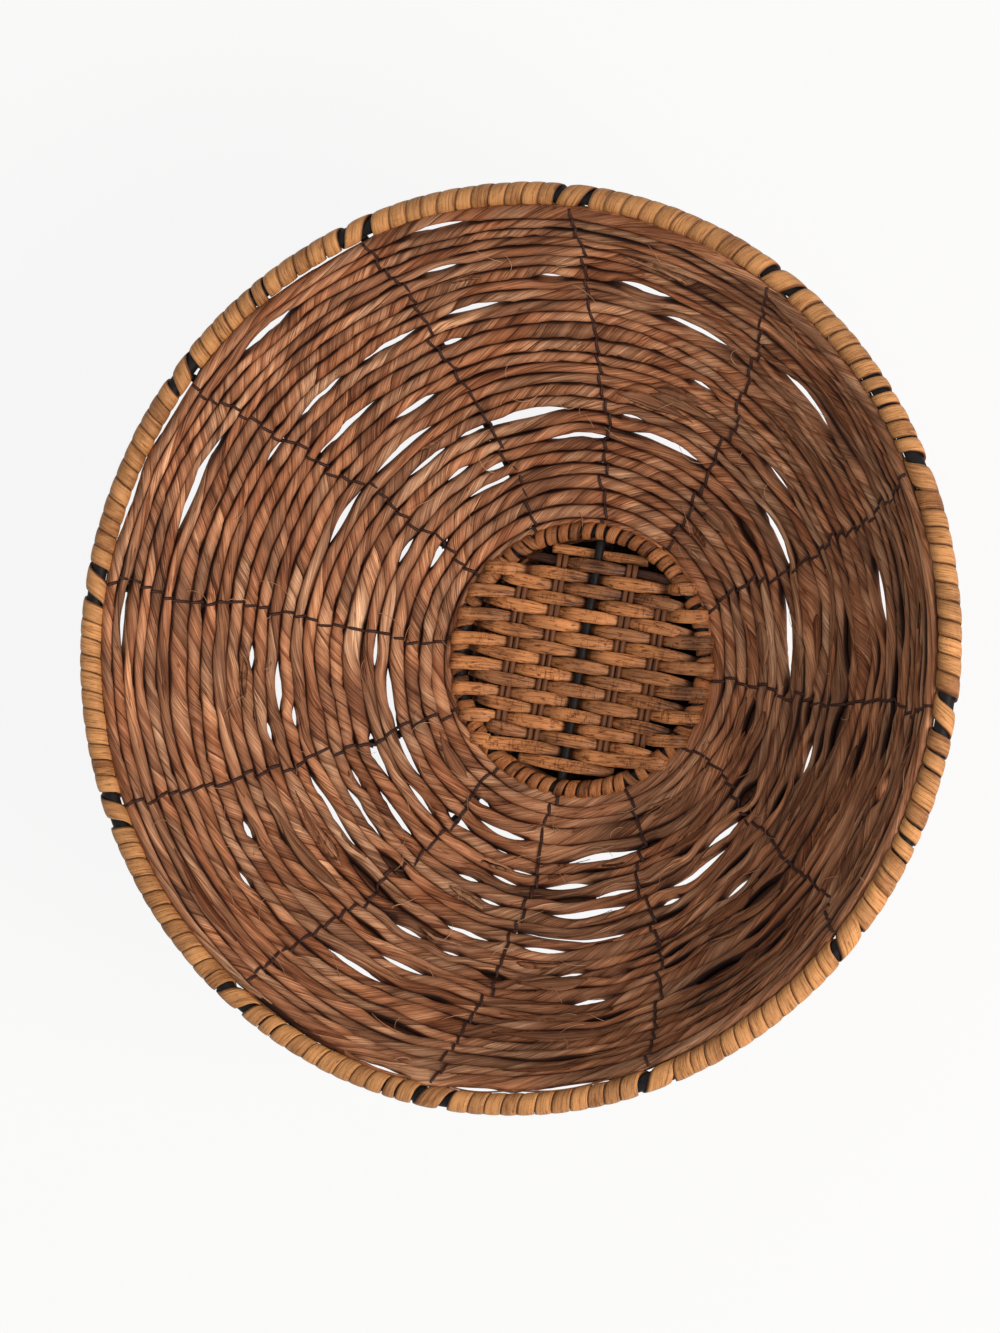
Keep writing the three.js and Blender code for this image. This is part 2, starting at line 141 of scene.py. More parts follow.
HOOP_BINDING = HOOP_ROD / 2 + CLEARANCE + CANE
WRAP_INNER = BASE_ROD / 2 + CLEARANCE
WRAP_OUTER = WRAP_INNER + REED_THICKNESS
WRAP_MIDDLE = (WRAP_INNER + WRAP_OUTER) / 2
BASE_BINDING = WRAP_INNER + CANE
ROW_PITCH = REED_WIDTH + REED_GAP
RIM_R = RIM_DIAMETER / 2 - HOOP_BINDING
BASE_R = BASE_DIAMETER / 2
FOOT_R = FOOT_DIAMETER / 2
FOOT_Z = HOOP_BINDING * math.cos(math.pi / 6)
ROPE_TO_RIB = ROPE / 2 + CLEARANCE + RIB_WIRE / 2
UNDER_BASE = BASE_HEIGHT - WRAP_OUTER - CLEARANCE - RIB_WIRE / 2


def bowl_arc():
    """The line of a rib from under the base hoop to the rim hoop."""
    rise = math.atan2(RIM_HEIGHT - UNDER_BASE, RIM_R - BASE_R)
    half = math.radians(RIM_SLOPE) - rise
    radius = math.hypot(RIM_HEIGHT - UNDER_BASE, RIM_R - BASE_R) / (2 * math.sin(half))
    return WallArc(BASE_R, UNDER_BASE, rise - half, radius, 2 * half * radius)


def bend_arc(bowl):
    """The bend of a rib from the bowl into the foot."""
    angle = math.pi / 2 - bowl.heading
    return WallArc(BASE_R, UNDER_BASE, math.pi + bowl.heading, RIB_BEND, angle * RIB_BEND)


def foot_arc(bend):
    """The line of a rib from its bend down to the foot hoop."""
    r, z, _ = bend.at(bend.length)
    half = math.atan2(FOOT_R - r, z - FOOT_Z)
    radius = (z - FOOT_Z) / math.sin(2 * half)
    return WallArc(float(r), float(z), -math.pi / 2, radius, 2 * half * radius)


def rope_end(arc):
    """How far up a wall its rope can wind before it meets the binding of the hoop."""
    reach = HOOP_BINDING + CLEARANCE + ROPE / 2
    square = (reach ** 2 - ROPE_TO_RIB ** 2) / (1 - ROPE_TO_RIB / arc.radius)
    return arc.length - math.sqrt(square)


BOWL = bowl_arc()
BEND = bend_arc(BOWL)
FOOT = foot_arc(BEND)
FIRST_ROW = WRAP_OUTER + CLEARANCE + ROPE / 2  # from the base hoop
BOWL_ROPE_START = (FIRST_ROW + ROPE_TO_RIB * math.sin(BOWL.heading)) / math.cos(BOWL.heading)
BOWL_ROPE_END = rope_end(BOWL)
FOOT_ROPE_END = rope_end(FOOT)


def rib_azimuth(number):
    return math.radians(FRAME_TURN) + TAU * number / RIB_COUNT


def polar(azimuth, r, z):
    """Points from azimuths, radii and heights."""
    azimuth, r, z = np.broadcast_arrays(azimuth, r, z)
    return np.stack([r * np.cos(azimuth), r * np.sin(azimuth), z], axis=-1)


def looseness(azimuth):
    """How loosely the leaf is twisted there, from 0 to 1."""
    return 0.5 + 0.5 * np.cos(np.asarray(azimuth) - math.radians(LOOSE_SIDE))


def eased(part):
    """0 to 1 with a smooth start and end."""
    return part * part * (3 - 2 * part)


def value_noise(rng, x):
    """Smooth random values in -1..1 over positions x, one new value to each whole step."""
    x = np.asarray(x, dtype=float)
    x = x - x.min()
    knots = rng.uniform(-1, 1, int(x.max()) + 3)
    whole = np.floor(x).astype(int)
    part = eased(x - whole)
    return knots[whole] * (1 - part) + knots[whole + 1] * part


# Meshes


def signed_volume(points, faces):
    a, b, c, d = (points[faces[:, i]] for i in range(4))
    return np.einsum("ij,ij->i", a, np.cross(b, c) + np.cross(c, d)).sum()


def loft_arrays(count, sides, looped):
    """Quads through rings of points, with the ring and the side of each of their corners."""
    spans = count if looped else count - 1
    i, j = (index.ravel() for index in np.meshgrid(np.arange(spans), np.arange(sides), indexing="ij"))
    ring = np.stack([i, i, i + 1, i + 1], 1)
    side = np.stack([j, j + 1, j + 1, j], 1)
    return (ring % count) * sides + side % sides, ring, side


def add_object(name, data):
    made = bpy.data.objects.new(name, data)
    bpy.context.scene.collection.objects.link(made)
    return made


class Body:
    """Collects lofts into one mesh with a UV map: u along a loft in centimetres, v once round it."""

    def __init__(self):
        self.points = []
        self.faces = []
        self.uvs = []
        self.caps = []
        self.crests = []
        self.count = 0

    def add_loft(self, rings, along, around=None, looped=False, crest=1.0):
        """A skin through rings of points, with flat ends unless it closes to a loop."""
        rings = np.asarray(rings, dtype=float)
        count, sides = rings.shape[:2]
        faces, ring, side = loft_arrays(count, sides, looped)
        points = rings.reshape(-1, 3)
        along = np.asarray(along, dtype=float)
        if looped:
            along = np.append(along, 2 * along[-1] - along[-2])
        around = np.linspace(0, 1, sides + 1) if around is None else np.asarray(around, dtype=float)
        around = np.broadcast_to(around, (len(along), sides + 1))
        uv = np.stack([along[ring] * CM, around[ring, side]], -1)
        first = np.arange(sides)
        ends = [first[::-1], first + (count - 1) * sides]
        if signed_volume(points, faces) < 0:
            faces = faces[:, ::-1]
            uv = uv[:, ::-1]
            ends = [end[::-1] for end in ends]
        if not looped:
            self.caps += [(end + self.count).tolist() for end in ends]
        self.points.append(points)
        self.crests.append(np.broadcast_to(crest, (count, sides)).ravel())
        self.faces.append(faces + self.count)
        self.uvs.append(uv)
        self.count += len(points)

    def add_tube(self, line, radius, sides):
        """A round rod or thread along a line of points."""
        self.add_loft(tube_rings(line, radius, sides), path_length(line))

    def piece(self, name, material, slot, *nodes):
        """Makes the object, hangs it on the frame and lets it stand for CAD nodes."""
        points = np.concatenate(self.points) * MM
        faces = np.concatenate(self.faces)
        uvs = np.concatenate(self.uvs).reshape(-1, 2)
        mesh = bpy.data.meshes.new(name)
        mesh.from_pydata(points.tolist(), [], faces.tolist() + self.caps)
        layer = mesh.uv_layers.new(name="lay")
        flat = np.zeros((len(mesh.loops), 2))
        flat[:len(uvs)] = uvs
        layer.data.foreach_set("uv", flat.ravel())
        mesh.polygons.foreach_set("use_smooth", np.arange(len(mesh.polygons)) < len(faces))
        # crest: a factor at each point that the materials turn into painted shade and painted highlight
        crest = mesh.attributes.new("crest", "FLOAT", "POINT")
        crest.data.foreach_set("value", np.concatenate(self.crests))
        mesh.materials.append(material)
        made = add_object(name, mesh)
        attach(made, "root")
        if nodes:
            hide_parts(*nodes)


def add_tube(name, line, radius, sides, material, slot, node):
    body = Body()
    body.add_tube(line, radius, sides)
    body.piece(name, material, slot, node)


def path_length(points):
    steps = np.linalg.norm(np.diff(points, axis=0), axis=1)
    return np.concatenate([[0], np.cumsum(steps)])


def tube_rings(points, radius, sides):
    """Round rings along a line of points, turned as little as the line allows."""
    points = [Vector(p) for p in points]
    radii = np.broadcast_to(radius, len(points))
    rings = []
    normal = None
    for i, point in enumerate(points):
        ahead = points[min(i + 1, len(points) - 1)] - points[max(i - 1, 0)]
        ahead.normalize()
        if normal is None:
            normal = ahead.orthogonal()
        normal = (normal - ahead * normal.dot(ahead)).normalized()
        side = ahead.cross(normal)
        ring = []
        for j in range(sides):
            angle = TAU * j / sides
            ring.append(point + (normal * math.cos(angle) + side * math.sin(angle)) * float(radii[i]))
        rings.append(ring)
    return np.array(rings)


# Materials


def colour(red, green, blue):
    """A colour given as on a screen, 0 to 255, as the renderer's linear values."""
    def linear(value):
        value /= 255
        return value / 12.92 if value <= 0.04045 else ((value + 0.055) / 1.055) ** 2.4
    return (linear(red), linear(green), linear(blue), 1.0)


BLACK = (0, 0, 0, 1)
WHITE = (1, 1, 1, 1)


class Look:
    """A node material with short calls for the nodes that the basket's materials share."""

    FOLD_STEP = 7.31  # from one fold to the next in the noise that gives folds their tones
    FADE = 0.06  # half the range of a noise in which lines fade out

    def __init__(self, name, roughness, specular):
        self.material = bpy.data.materials.new(name)
        self.material.use_nodes = True
        self.tree = self.material.node_tree
        self.shader = self.tree.nodes["Principled BSDF"]
        self.shader.inputs["Roughness"].default_value = roughness
        self.shader.inputs["Specular IOR Level"].default_value = specular
        self.lay = self.node("ShaderNodeUVMap", uv_map="lay").outputs["UV"]

    def node(self, kind, inputs=None, **settings):
        made = self.tree.nodes.new(kind)
        for name, value in settings.items():
            setattr(made, name, value)
        for name, value in (inputs or {}).items():
            if isinstance(value, bpy.types.NodeSocket):
                self.tree.links.new(value, made.inputs[name])
            else:
                made.inputs[name].default_value = value
        return made

    def noise_at(self, place, detail, roughness):
        inputs = {"Vector": place, "Scale": 1.0, "Detail": detail, "Roughness": roughness}
        return self.node("ShaderNodeTexNoise", inputs).outputs["Fac"]

    def noise(self, along, around, detail=3.0, roughness=0.55, offset=0.0):
        """Noise stretched along the lay: cells to each centimetre, and cells to one time round."""
        inputs = {"Vector": self.lay, "Scale": (along, around, 1), "Location": (offset, offset, offset)}
        return self.noise_at(self.node("ShaderNodeMapping", inputs).outputs[0], detail, roughness)

    def math(self, operation, a, b=0.0, clamp=False):
        return self.node("ShaderNodeMath", {0: a, 1: b}, operation=operation, use_clamp=clamp).outputs[0]

    def weighted(self, *shares):
        """The sum of several values, each times its share."""
        total = 0.0
        for value, share in shares:
            total = self.math("ADD", self.math("MULTIPLY", value, share), total)
        return total

    def fold_lines(self, along, around, width, offset):
        """1 on smooth leaf, falling to 0 along thin wandering lines."""
        spread = self.noise(along, around, 2, 0.5, offset)
        off_line = self.math("ABSOLUTE", self.math("SUBTRACT", spread, 0.5))
        return self.math("DIVIDE", off_line, width, clamp=True)

    def folds(self, count, waver):
        """The number of the leaf fold at a place, and how far across that fold the place lies, 0 to 1."""
        wander = self.math("MULTIPLY", self.noise(0.3, 0.3, 1, 0.5, 17.0), waver)
        place = self.math("ADD", self.math("MULTIPLY", self.across(), count), wander)
        return self.math("FLOOR", place), self.math("FRACT", place)

    def fold_tone(self, fold, along):
        """A random value for each fold, which changes slowly along it."""
        length = self.node("ShaderNodeSeparateXYZ", {0: self.lay}).outputs[0]
        inputs = {0: self.math("MULTIPLY", length, along), 1: self.math("MULTIPLY", fold, self.FOLD_STEP)}
        return self.noise_at(self.node("ShaderNodeCombineXYZ", inputs).outputs[0], 1.0, 0.5)

    def hidden_where(self, lines, along, around, offset, share):
        """Lines that come and go: smooth leaf where a slow noise is above a share."""
        slow = self.noise(along, around, 1, 0.5, offset)
        hidden = self.ramp(slow, (share - self.FADE, BLACK), (share + self.FADE, WHITE))
        return self.math("MAXIMUM", lines, hidden)

    def ramp(self, factor, *stops):
        made = self.node("ShaderNodeValToRGB", {"Fac": factor})
        elements = made.color_ramp.elements
        while len(elements) < len(stops):
            elements.new(0.5)
        for element, (place, value) in zip(elements, stops):
            element.position = place
            element.color = value
        return made.outputs["Color"]

    def mix(self, factor, a, b, blend="MIX"):
        made = self.node("ShaderNodeMix", {0: factor, 6: a, 7: b}, data_type="RGBA", blend_type=blend)
        return made.outputs[2]

    def tinted(self, base, factor, *stops, share=1.0):
        """A base colour times the colours of a ramp over a factor."""
        return self.mix(share, base, self.ramp(factor, *stops), "MULTIPLY")

    def rising(self, value, low, high, top):
        """0 up to a low value, and from there evenly up to a top at a high value."""
        inputs = {"Value": value, "From Min": low, "From Max": high, "To Min": 0.0, "To Max": top}
        return self.node("ShaderNodeMapRange", inputs).outputs[0]

    def across(self):
        """How far round the lay, 0 to 1."""
        return self.node("ShaderNodeSeparateXYZ", {0: self.lay}).outputs[1]

    def crest(self):
        """A factor for painted shade and painted highlight: 1 where a piece stands proud, falling to 0 where
        it dips out of the light.
        """
        return self.node("ShaderNodeAttribute", attribute_name="crest").outputs["Fac"]

    def finish(self, base, height, depth, strength=1.0):
        bump = self.node("ShaderNodeBump", {"Height": height, "Distance": depth * MM, "Strength": strength})
        self.tree.links.new(base, self.shader.inputs["Base Color"])
        self.tree.links.new(bump.outputs[0], self.shader.inputs["Normal"])
        return self.material


ROPE_TONES = (0.39, 0.465, 0.535, 0.63)
ORANGE_LEAF = (colour(76, 38, 22), colour(135, 84, 56), colour(174, 117, 83), colour(220, 166, 125))
GREY_LEAF = (colour(66, 39, 26), colour(121, 83, 60), colour(159, 117, 89), colour(216, 174, 140))
ROPE_SHADE_AND_HIGHLIGHT = (  # painted shade in the valley between two rows, up to a painted highlight on the crest of a row
    (0.45, (0.04, 0.019, 0.012, 1)),
    (0.62, (0.17, 0.105, 0.075, 1)),
    (0.75, (0.64, 0.56, 0.5, 1)),
    (0.89, (1.12, 1.11, 1.09, 1)),
    (1.0, (1.42, 1.44, 1.44, 1)),
)


def rope_material():
    """Twisted leaf: fine fibres, folds with painted shadow along their edges that comes and goes, and painted
    shade in the valleys with painted highlight on the crests.
    """
    look = Look("rope_leaf", 0.66, 0.16)
    fold, across_fold = look.folds(2.7, 1.1)
    fibres = look.noise(0.5, 46, 4, 0.7)
    streaks = look.noise(0.2, 8, 3, 0.55, 7.3)
    leaf = look.noise(0.3, 1.6, 4, 0.65, 3.1)
    tone = look.weighted((fibres, 0.38), (streaks, 0.2), (leaf, 0.15), (look.fold_tone(fold, 0.12), 0.27))
    orange, grey = (look.ramp(tone, *zip(ROPE_TONES, colours)) for colours in (ORANGE_LEAF, GREY_LEAF))
    tint = look.noise(0.14, 1.3, 2, 0.5, 11.7)
    base = look.mix(look.ramp(tint, (0.38, BLACK), (0.62, WHITE)), orange, grey)
    # painted shadow along the edge of each fold, where one leaf layer overlaps the next
    fold_shadow = look.ramp(across_fold, (0.0, BLACK), (0.07, (0.35, 0.35, 0.35, 1)), (0.3, WHITE))
    fold_shadow = look.hidden_where(fold_shadow, 0.25, 0.8, 25.0, 0.6)
    base = look.tinted(base, fold_shadow, (0.0, (0.2, 0.12, 0.085, 1)), (0.35, (0.66, 0.58, 0.52, 1)), (1.0, WHITE))
    hairlines = look.hidden_where(look.fold_lines(0.25, 7, 0.02, 9.1), 0.25, 1.2, 21.0, 0.54)
    base = look.tinted(base, hairlines, (0.0, (0.42, 0.32, 0.26, 1)), (1.0, WHITE))
    threads = look.hidden_where(look.fold_lines(0.2, 11, 0.02, 41.0), 0.3, 1.4, 33.0, 0.5)
    base = look.tinted(base, threads, (0.0, (1.5, 1.46, 1.4, 1)), (1.0, WHITE))
    # painted shade in the valleys and painted highlight on the crests, through the crest factor
    base = look.tinted(base, look.crest(), *ROPE_SHADE_AND_HIGHLIGHT)
    crumple = look.noise(1.3, 3, 3, 0.6, 71.0)
    relief = look.weighted((tone, 0.3), (across_fold, 0.4), (hairlines, 0.18), (crumple, 0.4))
    return look.finish(base, relief, 0.9)


def cane_material(name, light, dark, specked):
    """Split cane or reed: streaked, dark along a strip's edges, more or less specked and weathered, and with
    painted shade where it dips.
    """
    look = Look(name, 0.48, 0.28)
    fibres = look.noise(0.25, 20, 5, 0.7)
    strips = look.noise(0.36, 0.3, 1, 0.5, 5.7)
    stains = look.noise(1.6, 4, 4, 0.65, 2.2)
    tone = look.weighted((fibres, 0.36), (strips, 0.4), (stains, 0.24))
    lightest = tuple(min(1.0, value * 1.5) for value in light)
    base = look.ramp(tone, (0.38, dark), (0.5, light), (0.64, lightest))
    scratches = look.fold_lines(0.3, 7, 0.022, 8.8)
    base = look.tinted(base, scratches, (0.0, (0.5, 0.38, 0.3, 1)), (1.0, WHITE))
    specks = look.noise(2.4, 13, 2, 0.6, 31.0)
    base = look.tinted(base, specks, (0.57, WHITE), (0.65, (0.34, 0.22, 0.14, 1)), share=specked)
    cracks = look.hidden_where(look.fold_lines(5.0, 1.2, 0.03, 51.0), 0.8, 2.0, 53.0, 0.47)
    base = look.tinted(base, cracks, (0.0, (0.42, 0.3, 0.22, 1)), (1.0, WHITE), share=specked)
    weather = look.noise(0.16, 0.3, 2, 0.5, 61.0)
    base = look.tinted(base, weather, (0.47, WHITE), (0.6, (0.62, 0.64, 0.74, 1)), share=specked)
    edge = look.math("ABSOLUTE", look.math("SUBTRACT", look.across(), 0.5))
    base = look.tinted(base, edge, (0.41, WHITE), (0.495, (0.16, 0.1, 0.065, 1)))
    # painted shade where a reed dips under a stake, and on each strip of the base hoop, through the crest
    # factor
    dip_shade = ((0.0, (0.2, 0.13, 0.09, 1)), (0.45, (0.7, 0.62, 0.56, 1)), (0.8, WHITE))
    base = look.tinted(base, look.crest(), *dip_shade)
    relief = look.weighted((fibres, 0.6), (scratches, 0.4))
    return look.finish(base, relief, 0.45, 0.8)


# Roughness, specular, noise, both ends of the ramp over that noise, and depth of the relief in millimetres
PLAIN_LOOKS = {
    "pale_fibre": (
        0.45, 0.4, (0.8, 2, 2, 0.5, 4.0), (0.35, colour(120, 76, 50)), (0.65, colour(206, 164, 126)), 0.1,
    ),
    "stake_bark": (0.6, 0.3, (0.5, 9, 3), (0.3, colour(62, 32, 16)), (0.7, colour(132, 82, 48)), 0.3),
    "waxed_thread": (0.6, 0.3, (9, 3, 2), (0.3, colour(28, 11, 7)), (0.7, colour(64, 31, 20)), 0.2),
    "black_steel": (0.55, 0.14, (4, 5, 4, 0.6), (0.35, colour(12, 11, 11)), (0.7, colour(30, 27, 26)), 0.12),
}


def plain_material(name):
    """A material with one noise for its colour and its relief."""
    roughness, specular, noise, dark, light, depth = PLAIN_LOOKS[name]
    look = Look(name, roughness, specular)
    grain = look.noise(*noise)
    return look.finish(look.ramp(grain, dark, light), grain, depth)


# Rope walls


class Rope:
    """One twisted leaf rope wound round a wall: rings of its surface, and where each of its rows lies."""

    SIDES = 12
    SAMPLES = 400  # stations to one turn while the rows are laid out
    RING_STEP = 2.25
    TIGHTNESS = 0.72  # mean twist of the leaf, and how far it swings, as shares of one turn to each ROPE_LAY
    TIGHTNESS_SWING = 0.6
    THICKNESS = 4.9  # of a row with the plain width
    THICKNESS_LIMITS = (3.2, 5.0)
    WIDTH_VARIATION = 0.2
    FLAT_STRETCH = 0.42  # how much wider the rope gets where the leaf lies open
    RIBBON = 0.09  # how much the width swings as the flat leaf turns
    FULLNESS = 1.14  # rows press against each other
    LOOSE_FULLNESS = 0.09  # and overlap where the leaf is loose
    TUCK_LOW = 0.32  # shares of a row by which the two ends are tucked against the hoops
    TUCK_HIGH = 0.16
    TAIL = 0.74  # turns by which the rope goes on along the rim after its last whole row
    TAIL_TIP = 0.12  # turns in which that end narrows, and the row below takes up its room
    SQUARENESS = 0.72
    BARE_CREST = 0.88  # the side of a row that no neighbour covers gets no painted valley shade
    OVERHANG = 0.08  # how much painted shade the row above puts on the upper side of a row on a steep wall
    LOOSE_OVERHANG = 0.07  # how much more painted shade it puts there where the leaf is loose
    SUNK_SHADE = 0.25  # how much painted shade darkens a row that lies deep between its neighbours
    SPREAD = 0.8  # how much of a wide stretch's push reaches the row beyond
    NEIGHBOURS = 8
    GAP_SPREAD = 0.5  # how much of a gap's push reaches the row beyond
    GAP_LENGTH = 1.75  # a lens is longer and wider than the daylight that shows through it
    GAP_WIDTH = 1.42
    GAP_POWER = 0.75  # wide gaps are held back more than narrow ones
    GAP_THINNING = 0.5  # share of a gap that its two rows give by getting narrower
    GAP_SINK = 0.12  # how much lower the rows are there
    NIP_LENGTH = 2.4  # the pinch under a stitch: half its length, and what it takes off
    NIP_HEIGHT = 0.16
    NIP_WIDTH = 0.14
    NIP_DEPTH = 0.3
    STITCHED_SHARE = 0.35  # rows narrower than this get no stitch
    BUMP = 0.04
    CREASES = {0.1: 0.17, 0.45: 0.08, 0.7: 0.13}  # place round the leaf and depth
    CREASE_WIDTH = 0.06
    LEAF_STEP = 0.14  # step at the leaf's edge, as a share of the rope's radius

    def __init__(self, arc, start, end, turns, gaps, pockets, seed):
        rng = np.random.default_rng(seed)
        self.arc = arc
        self.start = start
        self.turns = turns
        self.pitch = (end - start) / turns
        self.row = self.pitch * (1 - ROPE_TO_RIB / arc.radius)
        self.lay_rows()
        self.set_twist(rng)
        self.set_widths(rng)
        for gap in gaps:
            self.part_rows(*gap, 1.0)
        for pocket in pockets:
            self.part_rows(*pocket, 0.0)
        self.pull_in_at_ribs()
        self.set_ends()
        self.bumps = [self.BUMP * self.wave(rng, 9) for _ in range(self.SIDES)]
        self.folds = [np.clip(0.55 + 0.95 * self.wave(rng, 38), 0.0, 1.3) for _ in self.CREASES]

    def wave(self, rng, length):
        """Slow random values in -1..1 along the rope, one new value to each length in millimetres."""
        return value_noise(rng, self.length / length)

    def lay_rows(self):
        """Even rows. The first and last turn narrow to nothing along the hoops and leave no wedge open."""
        self.turn = np.arange((self.turns + 2) * self.SAMPLES + 1) / self.SAMPLES - 1
        low = np.maximum(self.turn, 0) - 0.5 - self.TUCK_LOW * np.clip(1 - self.turn / 0.3, 0, 1)
        high = np.minimum(self.turn, self.turns) + 0.5
        after_tail = self.turn - self.turns - self.TAIL
        at_rim = np.clip((after_tail + 1) / self.TAIL_TIP + 1, 0, 1)
        high += (self.turns + 0.5 + self.TUCK_HIGH - high) * at_rim
        self.share = (high - low) * np.clip(-after_tail / self.TAIL_TIP, 0, 1)
        self.distance = self.start + self.pitch * (low + high) / 2
        self.azimuth = math.radians(FRAME_TURN) + TAU * self.turn
        self.to_left = np.full(len(self.turn), ROPE_TO_RIB)
        # the upper side of the rope along the rim gets no painted valley shade
        self.bare_above = at_rim
        self.bare_below = np.zeros_like(self.turn)
        self.radius, _, _ = self.arc.at(self.distance, self.to_left)
        self.length = np.cumsum(self.radius) * TAU / self.SAMPLES

    def set_twist(self, rng):
        """Turns of the leaf up to each station: tight in places and almost straight in others."""
        tightness = self.TIGHTNESS + self.TIGHTNESS_SWING * self.wave(rng, 45)
        tightness *= 1.1 - 0.35 * looseness(self.azimuth)
        self.twist = np.cumsum(tightness * np.gradient(self.length)) / ROPE_LAY

    def set_widths(self, rng):
        """Uneven widths, and rows pushed up or down the wall to make room for wide neighbours."""
        loose = looseness(self.azimuth)
        uneven = self.wave(rng, 75) + 0.45 * self.wave(rng, 21)
        opened = np.clip(self.wave(rng, 52) - 0.45 + 0.3 * loose, 0, 0.55) / 0.55
        wider = self.WIDTH_VARIATION * (0.8 + 0.8 * loose) * uneven
        wider += self.FLAT_STRETCH * (0.7 + 0.7 * loose) * opened
        calm = np.clip(np.minimum(self.turn, self.turns - self.turn) / 1.5, 0.15, 1)
        self.width = self.row * self.share * np.exp(wider * calm)
        extra = self.width - self.row * self.share
        shift = np.zeros_like(extra)
        for step in range(1, self.NEIGHBOURS + 1):
            push = 0.5 * self.SPREAD ** step
            offset = step * self.SAMPLES
            shift[offset:] += push * extra[:-offset]
            shift[:-offset] -= push * extra[offset:]
        shift += 0.12 * self.wave(rng, 17)
        self.distance = self.distance + shift * calm
        ribbon = 1 + self.RIBBON * calm * np.cos(2 * TAU * self.twist)
        self.width *= (self.FULLNESS + self.LOOSE_FULLNESS * loose * calm) * ribbon
        self.height = np.clip(self.THICKNESS * (self.row / self.width) ** 0.5, *self.THICKNESS_LIMITS)
        proud = (0.4 + 0.3 * loose) * self.wave(rng, 33) + 0.5 * loose * opened
        self.to_left = self.to_left + proud * calm

    def under_gap(self, azimuth, up_wall):
        """The row under a gap, and how far round the wall its middle lies, in turns."""
        turn = (math.radians(azimuth - FRAME_TURN) % TAU) / TAU
        highest = self.turns if turn < 0.5 else self.turns - 1
        return np.clip(round((up_wall - self.start) / self.pitch - turn - 0.5), 0, highest), turn

    def half_lens(self, length):
        """Half the length of the lens round a gap of so many degrees, in turns."""
        return self.GAP_LENGTH * length / 720

    def part_rows(self, azimuth, up_wall, length, opening, daylight):
        """Opens a lens between two rows, and presses the rows beyond together."""
        row, turn = self.under_gap(azimuth, up_wall)
        around = (self.turn - turn + 0.5) % 1 - 0.5
        rows_off = self.turn - turn - around - row - 0.5
        lens = np.clip(1 - (around / self.half_lens(length)) ** 2, 0, 1) ** 1.3
        near = self.GAP_SPREAD ** (np.abs(rows_off) - 0.5)
        beside = np.isclose(np.abs(rows_off), 0.5)
        parted = self.GAP_WIDTH * opening ** self.GAP_POWER + (self.FULLNESS - 1) * self.row
        plain = self.row * self.share * self.FULLNESS
        self.width = self.width + beside * np.sqrt(lens) * np.minimum(plain - self.width, 0)
        thinning = 0.5 * parted * lens * self.GAP_THINNING * beside
        pushed = 0.5 * parted * lens * near * (1 - self.GAP_THINNING)
        self.width = self.width - thinning
        self.distance = self.distance + np.sign(rows_off) * (pushed + 0.5 * thinning)
        self.height *= 1 - self.GAP_SINK * lens * near
        # where daylight shows, the sides of the rows beside it lose their painted valley shade
        bare = daylight * np.sqrt(lens)
        self.bare_above = np.maximum(self.bare_above, bare * np.isclose(rows_off, -0.5))
        self.bare_below = np.maximum(self.bare_below, bare * np.isclose(rows_off, 0.5))

    def pull_in_at_ribs(self):
        """The lashing nips the rope where it crosses a rib."""
        bay = TAU / RIB_COUNT
        off = (TAU * self.turn + bay / 2) % bay - bay / 2
        nip = np.exp(-((off * self.radius) / self.NIP_LENGTH) ** 2)
        self.height *= 1 - self.NIP_HEIGHT * nip
        self.width *= 1 - self.NIP_WIDTH * nip
        self.to_left = self.to_left - self.NIP_DEPTH * nip

    def set_ends(self):
        """Narrow stretches are thin too, and both ends come to a tip."""
        self.height *= np.clip(self.share, 0.0005, 1) ** 0.25
        self.width = np.maximum(self.width, 0.15)

    def surface(self):
        """Rings at even steps along the rope, with lengths, places round the leaf, and a factor for painted
        shade in the valleys and painted highlight on the crests.
        """
        length = np.linspace(self.length[0], self.length[-1], int(self.length[-1] / self.RING_STEP))

        def at_rings(values):
            return np.interp(length, self.length, values)[:, None]

        around = np.arange(self.SIDES + 1) / self.SIDES - at_rings(self.twist)
        angle = TAU * np.arange(self.SIDES) / self.SIDES
        profile = self.section_profile(around[:, :-1], at_rings)
        up_wall = 0.5 * at_rings(self.width) * profile * self.squared(np.cos(angle))
        off_wall = 0.5 * at_rings(self.height) * profile * self.squared(np.sin(angle))
        middle = [at_rings(values) for values in (self.azimuth, self.distance, self.to_left)]
        above = at_rings(self.bare_above) * (np.cos(angle) > 0)
        below = at_rings(self.bare_below) * (np.cos(angle) < 0)
        _, _, heading = self.arc.at(middle[1])
        # Painted shade: the valleys, the row above on a steep wall and a row sunk between its neighbours
        # darken the colour through the crest factor.
        overhang = self.OVERHANG + self.LOOSE_OVERHANG * looseness(middle[0])
        overhung = overhang * np.clip(np.cos(angle), 0, 1) * np.sin(heading)
        lit = np.abs(np.sin(angle)) - overhung - self.SUNK_SHADE * at_rings(self.sunk())
        crest = np.maximum(lit, self.BARE_CREST * np.maximum(above, below))
        return self.place(middle, up_wall, off_wall), length, around, crest

    def sunk(self):
        """How deep the top of a row lies between the rows beside it, from 0 to 1."""
        top = self.to_left + self.height / 2
        beside = np.copy(top)
        beside[self.SAMPLES:-self.SAMPLES] = (top[2 * self.SAMPLES:] + top[:-2 * self.SAMPLES]) / 2
        return np.clip((beside - top) / 1.2, 0, 1)

    def section_profile(self, around, at_rings):
        """Relative radius at places round the leaf: folds that come and go, and the step at its edge."""
        profile = 1 + np.concatenate([at_rings(bump) for bump in self.bumps], 1)
        profile = profile + self.LEAF_STEP * (around % 1 - 0.5)
        for (place, depth), fold in zip(self.CREASES.items(), self.folds):
            off = (around - place + 0.5) % 1 - 0.5
            profile = profile - depth * at_rings(fold) * np.exp(-(off / self.CREASE_WIDTH) ** 2)
        return profile

